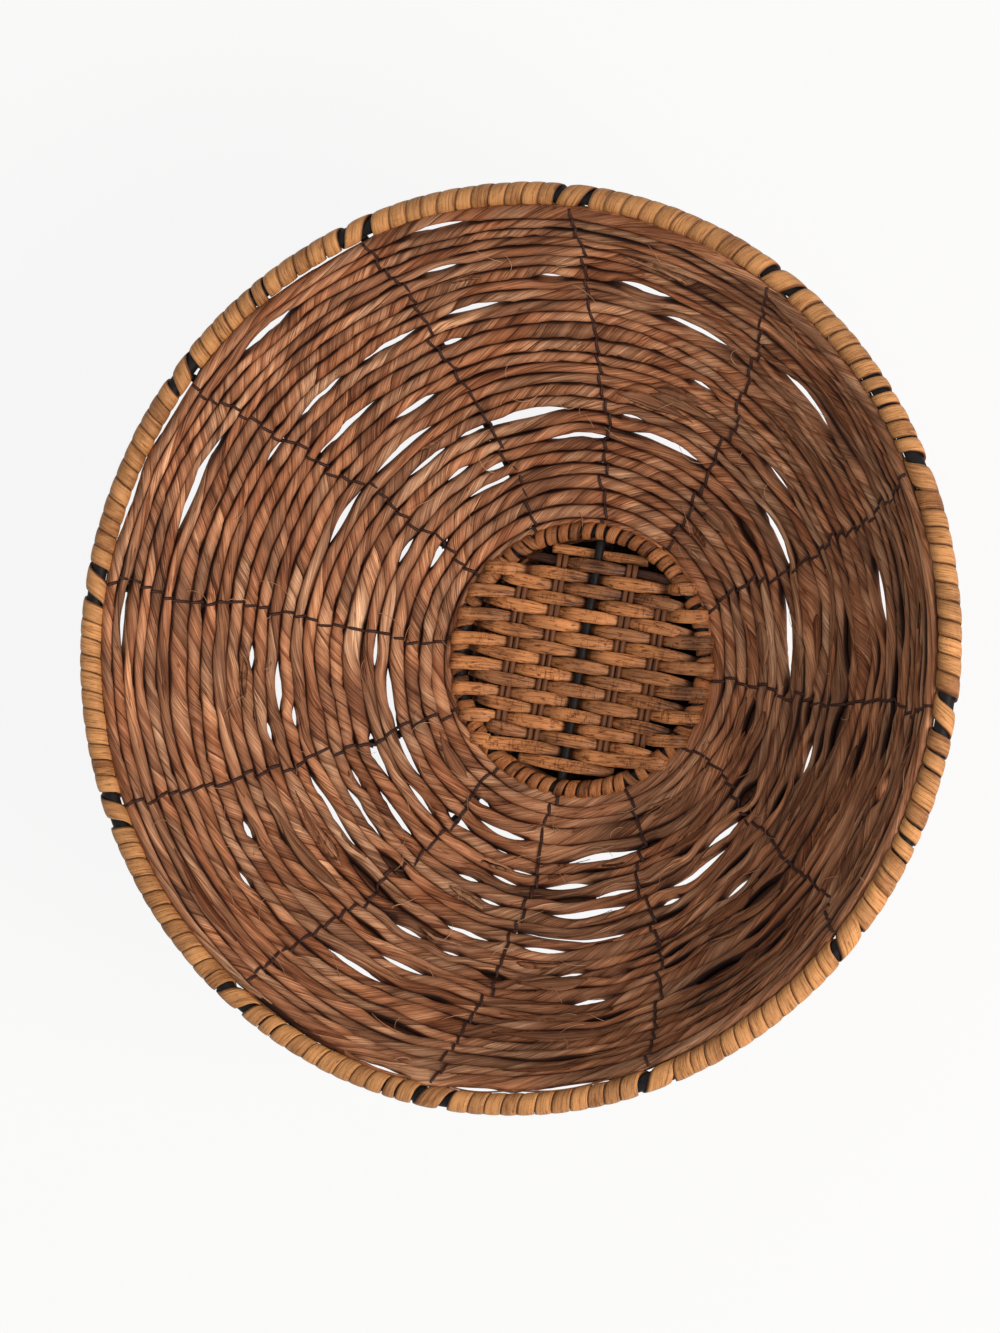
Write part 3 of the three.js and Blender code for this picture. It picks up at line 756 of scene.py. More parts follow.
    def squared(self, part):
        """Fills out a round section a little towards a square."""
        return np.sign(part) * np.abs(part) ** self.SQUARENESS

    def place(self, middle, up_wall, off_wall, along=0.0):
        """Points near the rope's middle line: up the wall, off it to the open side, and along the rope."""
        azimuth, distance, to_left = middle
        r, z, heading = self.arc.at(distance, to_left)
        azimuth = azimuth + along / r
        r = r + up_wall * np.cos(heading) - off_wall * np.sin(heading)
        z = z + up_wall * np.sin(heading) + off_wall * np.cos(heading)
        return polar(azimuth, r, z)

    def middle(self, index):
        return self.azimuth[index], self.distance[index], self.to_left[index]

    def beside_gap(self, index):
        """Whether daylight shows next to a row at any of these stations."""
        return np.maximum(self.bare_above, self.bare_below)[index].max() > 0

    def crossings(self, rib):
        """Indices of the stations where rows wide enough for a stitch cross a rib, from the base up."""
        indices = [round((row + 1 + rib / RIB_COUNT) * self.SAMPLES) for row in range(-1, self.turns + 1)]
        return [index for index in indices if self.share[index] > self.STITCHED_SHARE]


def add_rope(name, rope, material, node):
    rings, along, around, crest = rope.surface()
    body = Body()
    body.add_loft(rings, along, around, crest=crest)
    body.piece(name, material, "rope", node)


STITCH_STEPS = 9
THREAD_SIDES = 6
LASHING_SEED = 400


def lashing_line(rope, rib, rng):
    """The thread over every row along one rib: a step to the side in each valley."""
    points = []
    side = rng.uniform(-0.6, 0.6)
    over = np.radians(np.linspace(164, 16, STITCH_STEPS))
    for index in rope.crossings(rib):
        up_wall = (rope.width[index] / 2 + 0.15) * np.cos(over)
        off_wall = (rope.height[index] / 2 + 0.3) * np.sin(over)
        slant = rng.uniform(-1.0, 2.6)
        along = side + slant * np.linspace(-0.5, 0.5, STITCH_STEPS)
        points.append(rope.place(rope.middle(index), up_wall, off_wall, along))
        side = 0.6 * side + rng.uniform(-2.2, 1.9)
    return np.concatenate(points)


def lashing_loops(rope, rib, rng):
    """Loops of the same thread round the far side of the rib, one in each valley."""
    loops = []
    around = np.radians(np.linspace(-115, 115, STITCH_STEPS))
    reach = RIB_WIRE / 2 + 0.3 * LOOP_THREAD
    azimuth = rib_azimuth(rib)
    crossings = rope.crossings(rib)
    for below, above in zip(crossings, crossings[1:]):
        lean = rng.uniform(-0.8, 0.8)
        distance = (rope.distance[below] + rope.distance[above]) / 2 + lean * np.sin(around)
        r, z, heading = rope.arc.at(distance)
        off = -reach * np.cos(around)
        r = r - off * np.sin(heading)
        z = z + off * np.cos(heading)
        loops.append(polar(azimuth + reach * np.sin(around) / r, r, z))
    return loops


LEAF_STEPS = 14
SHEET_SIDES = 7
SHEET_LENGTH = (0.35, 0.7)  # shares of a bay
FLAP_LENGTH = (0.15, 0.4)
HAIR_STEPS = 10
POCKET_LENGTH = (3.5, 8)  # degrees
POCKET_OPENING = (0.8, 2.2)
POCKETS_ABOVE = 20  # no pocket lies closer to the base or to the rim than this, along the wall
POCKETS_BELOW = 8
POCKET_OVERLAP = 2.4  # how far the leaf reaches under the rows on both sides
POCKET_SHADE = 0.64  # painted shade on the leaf behind the rows, which gets little light
LEAF_CREST = 0.82  # and slight painted shade, with no painted highlight, on leaf that lies open on them


def loose_pockets(count, seed):
    """Partings between two rows of the bowl that leaf behind them closes, given like the gaps; that leaf
    carries painted shade.
    """
    rng = np.random.default_rng(seed)
    pockets = []
    while len(pockets) < count:
        azimuth = rng.uniform(0, 360)
        if rng.random() < looseness(math.radians(azimuth)) ** 2:
            up_wall = rng.uniform(BOWL_ROPE_START + POCKETS_ABOVE, BOWL_ROPE_END - POCKETS_BELOW)
            pockets.append((azimuth, up_wall, rng.uniform(*POCKET_LENGTH), rng.uniform(*POCKET_OPENING)))
    return pockets


def pocket_leaf(rope, azimuth, up_wall, length, opening):
    """The leaf that closes a parting between two rows from behind, painted dark as the shade in the pocket.
    """
    row, turn = rope.under_gap(azimuth, up_wall)
    part = np.linspace(-1, 1, LEAF_STEPS)
    turns = row + 1 + turn + rope.half_lens(length) * part
    below = np.round(turns * rope.SAMPLES).astype(int)
    above = below + rope.SAMPLES
    half = (POCKET_OVERLAP + opening / 2) * np.sqrt(1.04 - part ** 2)
    up_wall = half[:, None] * np.array([-1, 0, 1, 0])
    off_wall = np.array([-0.5, 0.1, -0.5, -0.9])
    distance = (rope.distance[below] + rope.distance[above]) / 2
    middle = (rope.azimuth[below][:, None], distance[:, None], ROPE_TO_RIB)
    rings = rope.place(middle, up_wall, off_wall)
    return rings, path_length(rings[:, 1])


def in_bay(rope, rng, share):
    """Stations along a stretch of rope between two ribs that takes up a share of the bay."""
    row = rng.integers(1, rope.turns - 1)
    chance = (0.25 + looseness(rib_azimuth(np.arange(RIB_COUNT) + 0.5))) ** 2
    bay = rng.choice(RIB_COUNT, p=chance / chance.sum())
    begin = rng.uniform(0.09, 0.91 - share)
    turn = row + (bay + begin + share * np.linspace(0, 1, LEAF_STEPS)) / RIB_COUNT
    return np.round((turn + 1) * rope.SAMPLES).astype(int)


def leaf_flap(rope, rng):
    """A torn edge of leaf that lifts off the rope and ends in a point."""
    index = in_bay(rope, rng, rng.uniform(*FLAP_LENGTH))
    part = np.linspace(0, 1, LEAF_STEPS)
    if rng.random() < 0.5:
        part = part[::-1]
    angle = math.radians(rng.uniform(40, 140)) + part * rng.uniform(-0.7, 0.7)
    lift = 0.1 + rng.uniform(0.2, 1.0) * part ** 2
    half = rng.uniform(0.5, 1.3) * np.sqrt(np.clip(1.02 - part, 0, 1)) * np.clip(part * 6 + 0.3, 0, 1)
    rings = []
    for sideways, rise in ((-1, 0.0), (0, 0.14), (1, 0.0), (0, -0.1)):
        turned = angle + sideways * half / 2.4
        up_wall = (rope.width[index] / 2 + lift + rise) * np.cos(turned)
        off_wall = (rope.height[index] / 2 + lift + rise) * np.sin(turned)
        rings.append(rope.place(rope.middle(index), up_wall, off_wall))
    rings = np.stack(rings, 1)
    return rings, path_length(rings[:, 1]), np.linspace(0, 0.25, 5) + rng.uniform(0, 50)


def leaf_sheet(rope, rng):
    """A piece of open leaf that lies over a row and dips into the valleys on both sides."""
    index = None
    while index is None or rope.beside_gap(index):
        index = in_bay(rope, rng, rng.uniform(*SHEET_LENGTH))
    part = np.linspace(0, 1, LEAF_STEPS)
    half = rng.uniform(1.8, 3.8) * np.clip(np.sin(math.pi * part ** 1.5), 0.02, 1) ** 0.9
    drift = np.linspace(0, rng.uniform(-3.0, 0.5), LEAF_STEPS) + rng.uniform(-0.6, 1.6)
    ripple = 0.1 * rng.standard_normal((LEAF_STEPS, SHEET_SIDES))
    up_wall = drift[:, None] + half[:, None] * np.linspace(-1, 1, SHEET_SIDES)
    top = rope.height[index][:, None] / 2 + 0.3 - 1.3 * (up_wall / 4) ** 2 + ripple
    middle = [values[:, None] for values in rope.middle(index)]
    upper = rope.place(middle, up_wall, top)
    back = slice(SHEET_SIDES - 2, 0, -1)
    lower = rope.place(middle, up_wall[:, back], top[:, back] - 0.3)
    around = np.linspace(0, 0.6, SHEET_SIDES) + rng.uniform(0, 50)
    around = np.append(around, np.full(SHEET_SIDES - 1, around[-1]))
    return np.concatenate([upper, lower], 1), path_length(upper[:, SHEET_SIDES // 2]), around


def loose_hair(rope, rng):
    """A single fibre that stands away from the rope in a curl."""
    start = rng.integers(rope.SAMPLES, (rope.turns + 1) * rope.SAMPLES)
    part = np.linspace(0, 1, HAIR_STEPS)
    reach = rng.uniform(4, 15)
    bend = rng.uniform(-2.2, 2.2)
    heading = rng.uniform(-0.8, 0.8) + bend * part
    along = np.cumsum(np.cos(heading)) * reach / HAIR_STEPS * rng.choice([-1, 1])
    up_wall = rng.uniform(-1.5, 1.5) + np.cumsum(np.sin(heading)) * reach / HAIR_STEPS
    rise = rng.uniform(0.8, 2.2) * np.sin(part * math.pi * rng.uniform(0.5, 1.0))
    off_wall = rope.height[start] / 2 - 0.2 + rise
    line = rope.place(rope.middle(start), up_wall, off_wall, along)
    return line, np.linspace(0.12, 0.06, HAIR_STEPS), 4


def add_loose_leaf(name, rope, material, pockets, sheets, flaps, seed):
    """Open leaf and torn leaf edges on a rope, with slight painted shade, and leaf behind the pockets in it,
    painted dark as shade.
    """
    rng = np.random.default_rng(seed)
    body = Body()
    for pocket in pockets:
        body.add_loft(*pocket_leaf(rope, *pocket), crest=POCKET_SHADE)
    for _ in range(sheets):
        body.add_loft(*leaf_sheet(rope, rng), crest=LEAF_CREST)
    for _ in range(flaps):
        body.add_loft(*leaf_flap(rope, rng), crest=LEAF_CREST)
    body.piece(name, material, "rope")


def add_hairs(name, rope, material, hairs, seed):
    """Single fibres on a rope."""
    rng = np.random.default_rng(seed)
    body = Body()
    for _ in range(hairs):
        body.add_tube(*loose_hair(rope, rng))
    body.piece(name, material, "rope")


def add_lashing(name, ropes, rib, material, node):
    """All the thread along one rib, on the bowl and on the foot."""
    rng = np.random.default_rng(LASHING_SEED + rib)
    body = Body()
    for rope in ropes:
        body.add_tube(lashing_line(rope, rib, rng), THREAD / 2, THREAD_SIDES)
        for loop in lashing_loops(rope, rib, rng):
            body.add_tube(loop, LOOP_THREAD / 2, THREAD_SIDES)
    body.piece(name, material, "thread", node)


# Steel frame


def rib_line():
    """Radius and height along a rib, from the rim hoop to the foot hoop."""
    top = BOWL.length - HOOP_ROD / 2 + RIB_WELD
    bottom = FOOT.length - HOOP_ROD / 2 + RIB_WELD
    parts = [
        BOWL.at(np.linspace(top, 0, 40)),
        BEND.at(np.linspace(0, BEND.length, 10)[1:]),
        FOOT.at(np.linspace(0, bottom, 16)[1:]),
    ]
    return [np.concatenate([part[axis] for part in parts]) for axis in (0, 1)]


def add_ribs(material):
    r, z = rib_line()
    for rib in range(RIB_COUNT):
        line = polar(rib_azimuth(rib), r, z)
        add_tube(f"wire_rib_{rib + 1:02d}", line, RIB_WIRE / 2, 10, material, "steel", f"rib_{rib + 1:02d}")


def add_hoop(name, radius, height, rod, material, node):
    steps = 180
    sides = 14
    azimuth = TAU * np.arange(steps) / steps
    angle = TAU * np.arange(sides) / sides
    r = radius + rod / 2 * np.cos(angle)
    z = height + rod / 2 * np.sin(angle)
    rings = polar(azimuth[:, None], r[None], z[None])
    body = Body()
    body.add_loft(rings, radius * azimuth, looped=True)
    body.piece(name, material, "steel", node)


def add_cross_bar(material):
    reach = BASE_R - BASE_ROD / 2 + BAR_WELD
    y = np.linspace(-reach, reach, 24)
    line = mat_to_world(np.zeros_like(y), y, np.zeros_like(y))
    add_tube("steel_bar", line, CROSS_BAR / 2, 12, material, "steel", "cross_bar")


# Cane binding


BINDING_STEPS = 22  # rings to one turn of a strip
UNDER_CANE = 0.05  # between a rod and the cane on it
STRIP_AROUND = np.array([0, 0.1, 0.25, 0.42, 0.58, 0.74, 0.9, 1.0, 1.03, 1.06, 1.1])
LOOSE_BAYS = (1, 2, 11)  # bays of the rim in which more of the strips leave steel bare
LOOSE_CHANCE = 0.3
TIGHT_CHANCE = 0.05
BASE_TONES = (0.35, 0.75)  # strips on the base hoop get more or less painted shade
CROSSING_SIDES = {1: -0.5, 10: 0.5, 11: 0.5}  # ribs with one window, and the end that the strip takes


def strip_section(width, inner, crown):
    """Across a strip: offsets along the hoop and distances from the hoop's middle line."""
    place = np.linspace(-1, 1, 7)
    top = inner + CANE - crown * place ** 4 - 0.25 * crown * place ** 2
    under = np.array([0.9, 0.0, -0.9])
    offsets = np.concatenate([place, under]) * width / 2
    distances = np.concatenate([top, np.full(3, inner)])
    return offsets, distances


def binding_rings(hoop_r, hoop_z, rod, start, pitches, widths, lift, shift=0.0):
    """A strip wound round a hoop: one pitch, width, lift and shift to each turn, from a starting azimuth."""
    turns = len(pitches)
    turn = np.arange(turns * BINDING_STEPS + 1) / BINDING_STEPS
    whole = np.minimum(turn.astype(int), turns - 1)
    middle_of_turn = np.arange(turns) + 0.5
    travelled = np.interp(turn, np.arange(turns + 1), np.concatenate([[0], np.cumsum(pitches)]))
    azimuth = start + (travelled + np.interp(turn, middle_of_turn, np.broadcast_to(shift, turns))) / hoop_r
    width = np.interp(turn, middle_of_turn, widths)
    slant = np.arctan(np.asarray(pitches)[whole] / (TAU * (rod / 2 + CANE)))
    angle = TAU * turn - math.pi / 2
    rings = []
    for i in range(len(turn)):
        offsets, distances = strip_section(width[i] / math.cos(slant[i]), rod / 2 + UNDER_CANE, crown=0.26)
        distances = distances + lift[whole[i]]
        r = hoop_r + distances * math.cos(angle[i])
        z = hoop_z + distances * math.sin(angle[i])
        rings.append(polar(azimuth[i] + offsets / hoop_r, r, z))
    return np.array(rings), turn * TAU * (rod / 2 + CANE)


def add_rim_binding(material):
    """One cane strip all the way round: it crosses each rib on a slant between two windows of bare steel."""
    rng = np.random.default_rng(51)
    bay = TAU * RIM_R / RIB_COUNT
    slanted = bay - RIM_STRIPS_PER_BAY * RIM_STRIP
    pitches = []
    widths = []
    shift = []
    for rib in range(RIB_COUNT):
        share = rng.uniform(0.88, 1.12, RIM_STRIPS_PER_BAY)
        straight = RIM_STRIP * share / share.mean()
        window = np.ones(RIM_STRIPS_PER_BAY)
        loose = rng.random(RIM_STRIPS_PER_BAY) < (LOOSE_CHANCE if rib in LOOSE_BAYS else TIGHT_CHANCE)
        window[loose] = rng.uniform(0.7, 0.86, loose.sum())
        pitches += [slanted, *straight]
        side = CROSSING_SIDES.get(rib, 0.0)
        crossing = RIM_STRIP * rng.uniform(1.0, 1.3) + RIM_STRIP * 0.6 * abs(side)
        widths += [crossing, *(straight * window * rng.uniform(0.95, 1.0))]
        shift += [side * (slanted - crossing), *np.zeros(RIM_STRIPS_PER_BAY)]
    lift = rng.uniform(-0.12, 0.08, len(pitches))
    start = rib_azimuth(0) - slanted / 2 / RIM_R
    rings, along = binding_rings(RIM_R, RIM_HEIGHT, HOOP_ROD, start, pitches, widths, lift, shift)
    body = Body()
    body.add_loft(rings[:-1], along[:-1], STRIP_AROUND)
    nodes = [f"rim_wrap_{rib + 1:02d}" for rib in range(RIB_COUNT)]
    body.piece("rim_binding", material, "cane", *nodes)


def half_wrap_azimuths(first):
    """Places on the base hoop: at the bar's ends, and along both sides, where rows turn round it."""
    count = round(2 * first * BASE_R / BASE_STRIP)
    turns = first * (2 * (np.arange(count) + 0.5) / count - 1)
    return [math.pi / 2, -math.pi / 2, *turns, *(math.pi - turns)]


def half_wrap(azimuth, width, slant):
    """A strip over the top of the base hoop, between two rows that turn round it."""
    angles = np.radians(np.linspace(-60, 170, 16))
    rings = []
    for angle in angles:
        offsets, distances = strip_section(width, BASE_ROD / 2 + UNDER_CANE, crown=0.3)
        r = BASE_R + distances * math.cos(angle)
        z = BASE_HEIGHT + distances * math.sin(angle)
        rings.append(polar(azimuth + (offsets + slant * (angle - angles.mean())) / BASE_R, r, z))
    return np.array(rings), angles * BASE_BINDING


def add_base_binding(material):
    """Short runs of cane on the front and the back of the base hoop."""
    rng = np.random.default_rng(52)
    woven_edge = (LAST_WOVEN_ROW + 0.5) * ROW_PITCH + REED_WIDTH / 2 + REED_GAP
    first = math.asin(woven_edge / (BASE_R - WRAP_OUTER))
    last = math.pi / 2 - math.asin((CROSS_BAR / 2 + 1) / BASE_R)
    turns = round((last - first) * BASE_R / BASE_STRIP)
    body = Body()
    for half in (0, math.pi):
        for begin in (first, math.pi - last):
            pitches = np.full(turns, (last - first) * BASE_R / turns)
            widths = pitches * rng.uniform(0.76, 0.98, turns)
            lift = rng.uniform(-0.2, 0.15, turns)
            start = begin + half + math.radians(MAT_TURN)
            rings, along = binding_rings(BASE_R, BASE_HEIGHT, BASE_ROD, start, pitches, widths, lift)
            # painted shade at random from strip to strip, through the crest factor
            tones = rng.uniform(*BASE_TONES, turns)
            crest = np.interp(np.linspace(0, turns, len(rings)), np.arange(turns) + 0.5, tones)
            body.add_loft(rings, along, STRIP_AROUND, crest=crest[:, None])
    for azimuth in half_wrap_azimuths(first):
        width = BASE_STRIP * rng.uniform(0.72, 1.02)
        rings, along = half_wrap(azimuth + math.radians(MAT_TURN), width, rng.uniform(-1.3, 1.3))
        body.add_loft(rings, along + rng.uniform(0, 500), STRIP_AROUND, crest=rng.uniform(*BASE_TONES))
    nodes = [f"base_wrap_{half}_{number}" for half in ("front", "back") for number in (1, 2)]
    body.piece("base_binding", material, "cane", *nodes)


def add_foot_binding(material):
    """One cane strip all the way round, flat enough underneath for the basket to stand."""
    rng = np.random.default_rng(53)
    pitch = TAU * FOOT_R / FOOT_STRIPS
    share = rng.uniform(0.93, 1.07, FOOT_STRIPS)
    pitches = pitch * share / share.mean()
    widths = pitches * rng.uniform(0.94, 0.99, FOOT_STRIPS)
    lift = rng.uniform(-0.06, 0.0, FOOT_STRIPS)
    lift -= HOOP_BINDING - FOOT_Z
    rings, along = binding_rings(FOOT_R, FOOT_Z, HOOP_ROD, 0.0, pitches, widths, lift)
    body = Body()
    body.add_loft(rings, along, STRIP_AROUND)
    body.piece("foot_binding", material, "cane", "foot_wrap")


# Base mat


STAKE_PLACES = range(-STAKE_PAIRS_EACH_SIDE, STAKE_PAIRS_EACH_SIDE + 1)  # the bar's place is 0
REED_PLACES = np.array([-1, -0.94, -0.6, 0, 0.6, 0.94, 1, 0.7, 0, -0.7])  # half-round section: across and up
REED_RISES = np.array([0.0, 0.5, 0.82, 0.92, 0.82, 0.5, 0.0, -0.55, -0.6, -0.55])
WOVEN_STEPS = 76
TURN_STEPS = 20
TAIL_STEPS = 8
EDGE_STEPS = 30
PINCH = 0.26 * ROW_PITCH  # how far a row swings towards its neighbour near its end
PINCH_REACH = 17
DARKEST_DIP = -1.65  # height at which a reed gets its darkest painted shade, and the range up to none
DIP_RANGE = 1.1
UP = (0.0, 0.0, 1.0)
EDGE_TUCK = 3.2  # how far the ends of the outermost reeds go in under the hoop, and how deep
EDGE_DIP = 2.2
FLOAT_FULLNESS = 1.9  # above 1, a reed stays high for longer and dips under a stake more sharply
WOVEN_WIDTH = 1.09 * REED_WIDTH  # reeds press against each other


def mat_to_world(x, y, z):
    """From the mat's own axes, rows along x, to the basket's."""
    turn = math.radians(MAT_TURN)
    world_x = x * math.cos(turn) - y * math.sin(turn)
    world_y = x * math.sin(turn) + y * math.cos(turn)
    return np.stack([world_x, world_y, z + BASE_HEIGHT], axis=-1)


def row_place(row):
    return (row + 0.5) * ROW_PITCH


def row_heights(row, reach):
    """Where a row passes over or under the bar and the stakes, from left to right."""
    crossed = []
    for place in STAKE_PLACES:
        x = place * STAKE_SPACING
        thickness = CROSS_BAR if place == 0 else STAKE
        lift = thickness / 2 + REED_THICKNESS / 2 + 0.1
        if abs(x) < reach - 7:
            crossed.append((x, -lift if (place + row) % 2 == 0 else lift))
    return crossed


def smooth_through(x, knots_x, knots_z):
    """Heights that ease from knot to knot: long and flat on top, and short below."""
    index = np.clip(np.searchsorted(knots_x, x) - 1, 0, len(knots_x) - 2)
    part = eased((x - knots_x[index]) / (knots_x[index + 1] - knots_x[index]))
    low = np.minimum(knots_z[index], knots_z[index + 1])
    high = np.maximum(knots_z[index], knots_z[index + 1])
    up = np.where(knots_z[index + 1] > knots_z[index], part, 1 - part)
    return high - (high - low) * (1 - up) ** FLOAT_FULLNESS


def reed_rings(x, y, z, outward, rng):
    """A half-round reed along a line in the mat's axes, with the direction of its crown at each point."""
    line = np.stack([x, y, z], -1)
    ahead = np.gradient(line, axis=0)
    ahead /= np.linalg.norm(ahead, axis=1)[:, None]
    across = np.cross(outward, ahead)
    across /= np.linalg.norm(across, axis=1)[:, None]
    crown = np.cross(ahead, across)
    wobble = 1 + 0.06 * value_noise(rng, path_length(line) / 9) + 0.085 * np.clip(z, -2, 2)
    sideways = REED_PLACES[None, :, None] * (WOVEN_WIDTH * wobble / 2)[:, None, None] * across[:, None]
    upward = REED_RISES[None, :, None] * (REED_THICKNESS * 0.62) * crown[:, None]
    rings = line[:, None] + sideways + upward
    return mat_to_world(rings[..., 0], rings[..., 1], rings[..., 2]), path_length(line)


def reed_crest(z):
    """Painted shade on reeds where they dip under a stake."""
    return np.clip((z - DARKEST_DIP) / DIP_RANGE, 0, 1)[:, None]


def wrap_start(y):
    """How far from the middle a row meets the base hoop."""
    r = BASE_R + WRAP_MIDDLE * math.cos(math.radians(WRAP_TOP))
    return math.sqrt(r ** 2 - y ** 2)


def weaver_line():
    """Middle line and crown direction of the one reed that weaves every row but the outer two."""
    x, y, z, outward = [], [], [], []
    top = math.radians(WRAP_TOP)
    tail = math.radians(WRAP_TAIL)

    def add_wrap(side, angles, places):
        for angle, place in zip(angles, places):
            r = BASE_R + WRAP_MIDDLE * math.cos(angle)
            x.append(side * math.sqrt(r ** 2 - place ** 2))
            y.append(place)
            z.append(WRAP_MIDDLE * math.sin(angle))
            outward.append((side * math.cos(angle), 0.0, math.sin(angle)))

    first = -LAST_WOVEN_ROW - 1
    add_wrap(-1, np.linspace(tail, top, TAIL_STEPS), np.full(TAIL_STEPS, row_place(first)))
    for row in range(first, LAST_WOVEN_ROW + 1):
        side = 1 if (row - first) % 2 == 0 else -1
        middle = row_place(row)
        reach = wrap_start(middle)
        inner_height = side * WRAP_MIDDLE * math.sin(top)
        knots = [(-reach, inner_height), *row_heights(row, reach), (reach, inner_height)]
        knots_x, knots_z = np.array(knots).T
        row_x = np.linspace(-reach, reach, WOVEN_STEPS)[1:-1]
        row_z = smooth_through(row_x, knots_x, knots_z)
        ends = np.clip((np.abs(row_x) - reach + PINCH_REACH) / PINCH_REACH, 0, 1) ** 1.5
        row_y = middle + side * PINCH * ends * np.sign(row_x)
        order = slice(None) if side > 0 else slice(None, None, -1)
        x.extend(row_x[order])
        y.extend(row_y[order])
        z.extend(row_z[order])
        outward.extend([UP] * len(row_x))
        if row < LAST_WOVEN_ROW:
            angles = np.linspace(side * top, -side * top, TURN_STEPS)
            add_wrap(side, angles, np.linspace(middle + PINCH, row_place(row + 1) - PINCH, TURN_STEPS))
    add_wrap(-1, np.linspace(-top, -tail, TAIL_STEPS), np.full(TAIL_STEPS, row_place(LAST_WOVEN_ROW)))
    return np.array(x), np.array(y), np.array(z), np.array(outward)


def add_edge_reed(name, row, reed, rng):
    """One of the two outermost rows, short and tucked in under the base hoop."""
    middle = row_place(row)
    reach = math.sqrt((BASE_R - BASE_BINDING) ** 2 - (abs(middle) + REED_WIDTH / 2) ** 2)
    crossed = row_heights(row, reach + 5)
    reach += EDGE_TUCK
    knots_x, knots_z = np.array([(-reach, -EDGE_DIP), *crossed, (reach, -EDGE_DIP)]).T
    x = np.linspace(-reach, reach, EDGE_STEPS)
    z = smooth_through(x, knots_x, knots_z)
    rings, along = reed_rings(x, np.full_like(x, middle), z, np.tile(UP, (EDGE_STEPS, 1)), rng)
    body = Body()
    body.add_loft(rings, along, crest=reed_crest(np.maximum(z, -0.5)))
    body.piece(f"mat_edge_{name}", reed, "reed", f"edge_reed_{name}")


def add_stake(number, x, stake_look, rng):
    node = f"mat_stake_{number:02d}"
    low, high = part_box(node)
    half = math.hypot(high[0] - low[0], high[1] - low[1]) / 2 / MM
    y = np.linspace(-half, half, 28)
    line = mat_to_world(x + 0.12 * value_noise(rng, y / 9), y, np.zeros_like(y))
    add_tube(f"stake_{number:02d}", line, STAKE / 2, 9, stake_look, "stake_reed", node)


def add_mat(reed, stake_look):
    rng = np.random.default_rng(61)
    x, y, z, outward = weaver_line()
    weaver = Body()
    weaver.add_loft(*reed_rings(x, y, z, outward, rng), crest=reed_crest(z))
    weaver.piece("mat_reed", reed, "reed", "mat_weaver")
    add_edge_reed("front", -LAST_WOVEN_ROW - 2, reed, rng)
    add_edge_reed("back", LAST_WOVEN_ROW + 1, reed, rng)
    pairs = [place * STAKE_SPACING for place in STAKE_PLACES if place]
    stakes = [middle + side * (STAKE + CLEARANCE) / 2 for middle in pairs for side in (-1, 1)]
    for number, stake_x in enumerate(stakes, 1):
        add_stake(number, stake_x, stake_look, rng)


# Stage


def seen_directly(tree):
    """1 for what the camera sees, also in a mirror or through glass, and 0 for light on a surface."""
    light_path = tree.nodes.new("ShaderNodeLightPath")
    seen = light_path.outputs["Is Camera Ray"]
    for ray in ("Is Glossy Ray", "Is Transmission Ray"):
        either = tree.nodes.new("ShaderNodeMath")
        either.operation = "MAXIMUM"
        tree.links.new(seen, either.inputs[0])
        tree.links.new(light_path.outputs[ray], either.inputs[1])
        seen = either.outputs[0]
    return seen


FLOOR_HALF = 4.0  # metres, like all lengths of the stage
UNDER_FOOT = (0.057, 0.06)  # radii between which the floor goes from a dark painted shadow under the foot to white
NEAR_WHITE = 0.88  # share of plain white, the rest of which leaves room for the object's shadow
FAR_WHITE = 0.12  # and is added far from the object
FAR = (0.4, 2.5)
CAMERA_PLACE = (0.5115, -0.0974, 1.5497)
CAMERA_TARGET = (-0.002, -0.0069, 0.138)
SKY = (0.97, 1.0, 0.99, 1.0)


def floor_material():
    """A pale floor that the camera sees as white where nothing shades it, with a painted shadow, a dark base
    colour, under the foot.
    """
    look = Look("pale_floor", 0.9, 0.1)
    tree = look.tree
    place = look.node("ShaderNodeTexCoord").outputs["Object"]
    distance = look.node("ShaderNodeVectorMath", {0: place}, operation="LENGTH").outputs["Value"]
    clear = look.rising(distance, *UNDER_FOOT, NEAR_WHITE)
    white_share = look.math("ADD", clear, look.rising(distance, *FAR, FAR_WHITE))
    share = look.math("MULTIPLY", seen_directly(tree), white_share)
    # painted shadow: a dark base colour under the foot, where the closed foot shades the floor
    floor_colour_with_painted_shadow = look.ramp(clear, (0.0, (0.05, 0.045, 0.04, 1)), (NEAR_WHITE, (0.82, 0.82, 0.82, 1)))
    tree.links.new(floor_colour_with_painted_shadow, look.shader.inputs["Base Color"])
    white = look.node("ShaderNodeEmission", {"Color": WHITE, "Strength": 1.0})
    mixed = look.node("ShaderNodeMixShader", {0: share, 1: look.shader.outputs[0], 2: white.outputs[0]})
    tree.links.new(mixed.outputs[0], tree.nodes["Material Output"].inputs["Surface"])
    return look.material


def add_floor():
    mesh = bpy.data.meshes.new("floor")
    signs = ((-1, -1), (1, -1), (1, 1), (-1, 1))
    mesh.from_pydata([(FLOOR_HALF * x, FLOOR_HALF * y, 0) for x, y in signs], [], [(0, 1, 2, 3)])
    mesh.materials.append(floor_material())
    add_object("floor", mesh)


def facing(location, target, up):
    """A placement that looks from a location to a target."""
    back = (Vector(location) - Vector(target)).normalized()
    right = Vector(up).cross(back).normalized()
    true_up = back.cross(right)
    turn = Matrix((right, true_up, back)).transposed()
    return Matrix.Translation(location) @ turn.to_4x4()


def add_camera():
    data = bpy.data.cameras.new("camera")
    data.sensor_fit = "VERTICAL"
    data.sensor_height = 36
    data.lens = 119
    camera = add_object("camera", data)
    camera.matrix_world = facing(CAMERA_PLACE, CAMERA_TARGET, (0, 1, 0))
    bpy.context.scene.camera = camera


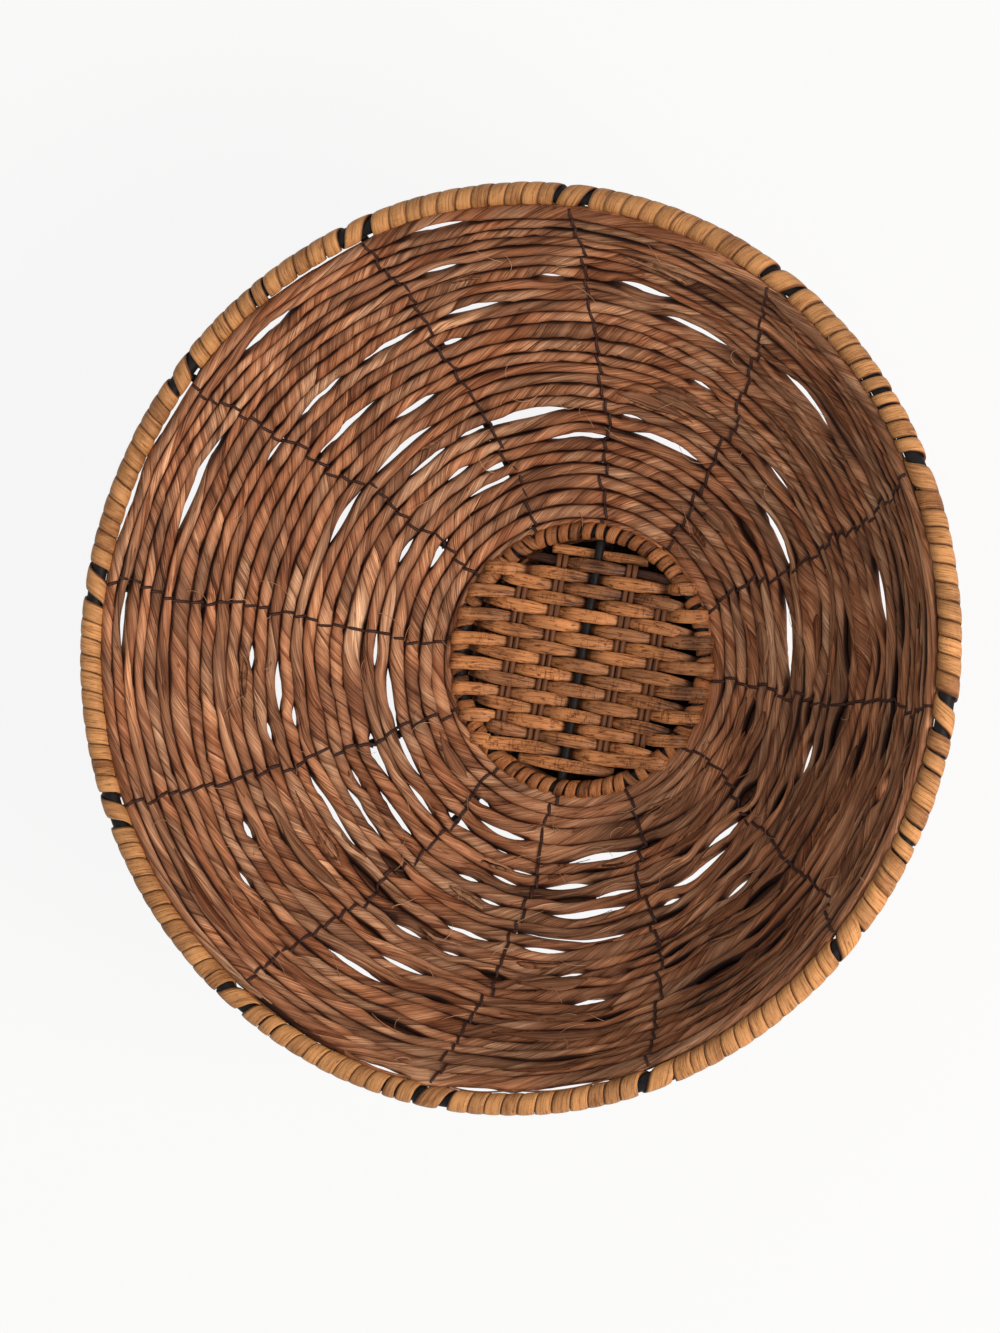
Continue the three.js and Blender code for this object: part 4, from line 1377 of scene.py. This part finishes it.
def add_lamp(name, location, target, size, power, tint):
    data = bpy.data.lights.new(name, "AREA")
    data.shape = "DISK"
    data.size = size
    data.energy = power
    data.color = tint
    add_object(name, data).matrix_world = facing(location, target, (0, 1, 0.1))


def add_world(strength):
    """Soft white light from all round, and a white backdrop."""
    world = bpy.data.worlds.new("studio")
    world.use_nodes = True
    tree = world.node_tree
    light = tree.nodes["Background"]
    light.inputs["Color"].default_value = SKY
    light.inputs["Strength"].default_value = strength
    backdrop = tree.nodes.new("ShaderNodeBackground")
    backdrop.inputs["Color"].default_value = WHITE
    mixed = tree.nodes.new("ShaderNodeMixShader")
    tree.links.new(seen_directly(tree), mixed.inputs[0])
    tree.links.new(light.outputs[0], mixed.inputs[1])
    tree.links.new(backdrop.outputs[0], mixed.inputs[2])
    tree.links.new(mixed.outputs[0], tree.nodes["World Output"].inputs["Surface"])
    bpy.context.scene.world = world


def build():
    add_camera()
    rope_look = rope_material()
    cane = cane_material("rim_cane", colour(201, 142, 87), colour(134, 82, 42), specked=0.3)
    reed = cane_material("mat_reed", colour(196, 130, 79), colour(80, 42, 20), specked=1.0)
    hair = plain_material("pale_fibre")
    thread = plain_material("waxed_thread")
    steel = plain_material("black_steel")
    pockets = loose_pockets(40, seed=13)
    bowl_rope = Rope(BOWL, BOWL_ROPE_START, BOWL_ROPE_END, BOWL_TURNS, BOWL_GAPS, pockets, seed=11)
    foot_rope = Rope(FOOT, 0.0, FOOT_ROPE_END, FOOT_TURNS, [], [], seed=12)
    add_rope("leaf_rope_bowl", bowl_rope, rope_look, "bowl_rope")
    add_rope("leaf_rope_foot", foot_rope, rope_look, "foot_rope")
    add_loose_leaf("loose_leaf_and_shaded_pockets_bowl", bowl_rope, rope_look, pockets, sheets=44, flaps=48, seed=21)
    add_loose_leaf("loose_leaf_foot", foot_rope, rope_look, [], sheets=3, flaps=3, seed=22)
    add_hairs("loose_hair_bowl", bowl_rope, hair, 150, seed=23)
    add_hairs("loose_hair_foot", foot_rope, hair, 24, seed=24)
    for rib in range(RIB_COUNT):
        add_lashing(f"lashing_{rib + 1:02d}", (bowl_rope, foot_rope), rib, thread, f"stitch_{rib + 1:02d}")
    add_ribs(steel)
    add_hoop("hoop_rim", RIM_R, RIM_HEIGHT, HOOP_ROD, steel, "rim_hoop")
    add_hoop("hoop_base", BASE_R, BASE_HEIGHT, BASE_ROD, steel, "base_hoop")
    add_hoop("hoop_foot", FOOT_R, FOOT_Z, HOOP_ROD, steel, "foot_hoop")
    add_cross_bar(steel)
    add_rim_binding(cane)
    add_base_binding(reed)
    add_foot_binding(cane)
    add_mat(reed, plain_material("stake_bark"))
    add_floor()
    add_world(strength=0.42)
    add_lamp("key", (1.47, -0.55, 1.3), (0, 0, 0.1), size=1.0, power=35.5, tint=(1.0, 0.91, 0.84))


build()
bpy.context.scene.view_settings.view_transform = "Standard"
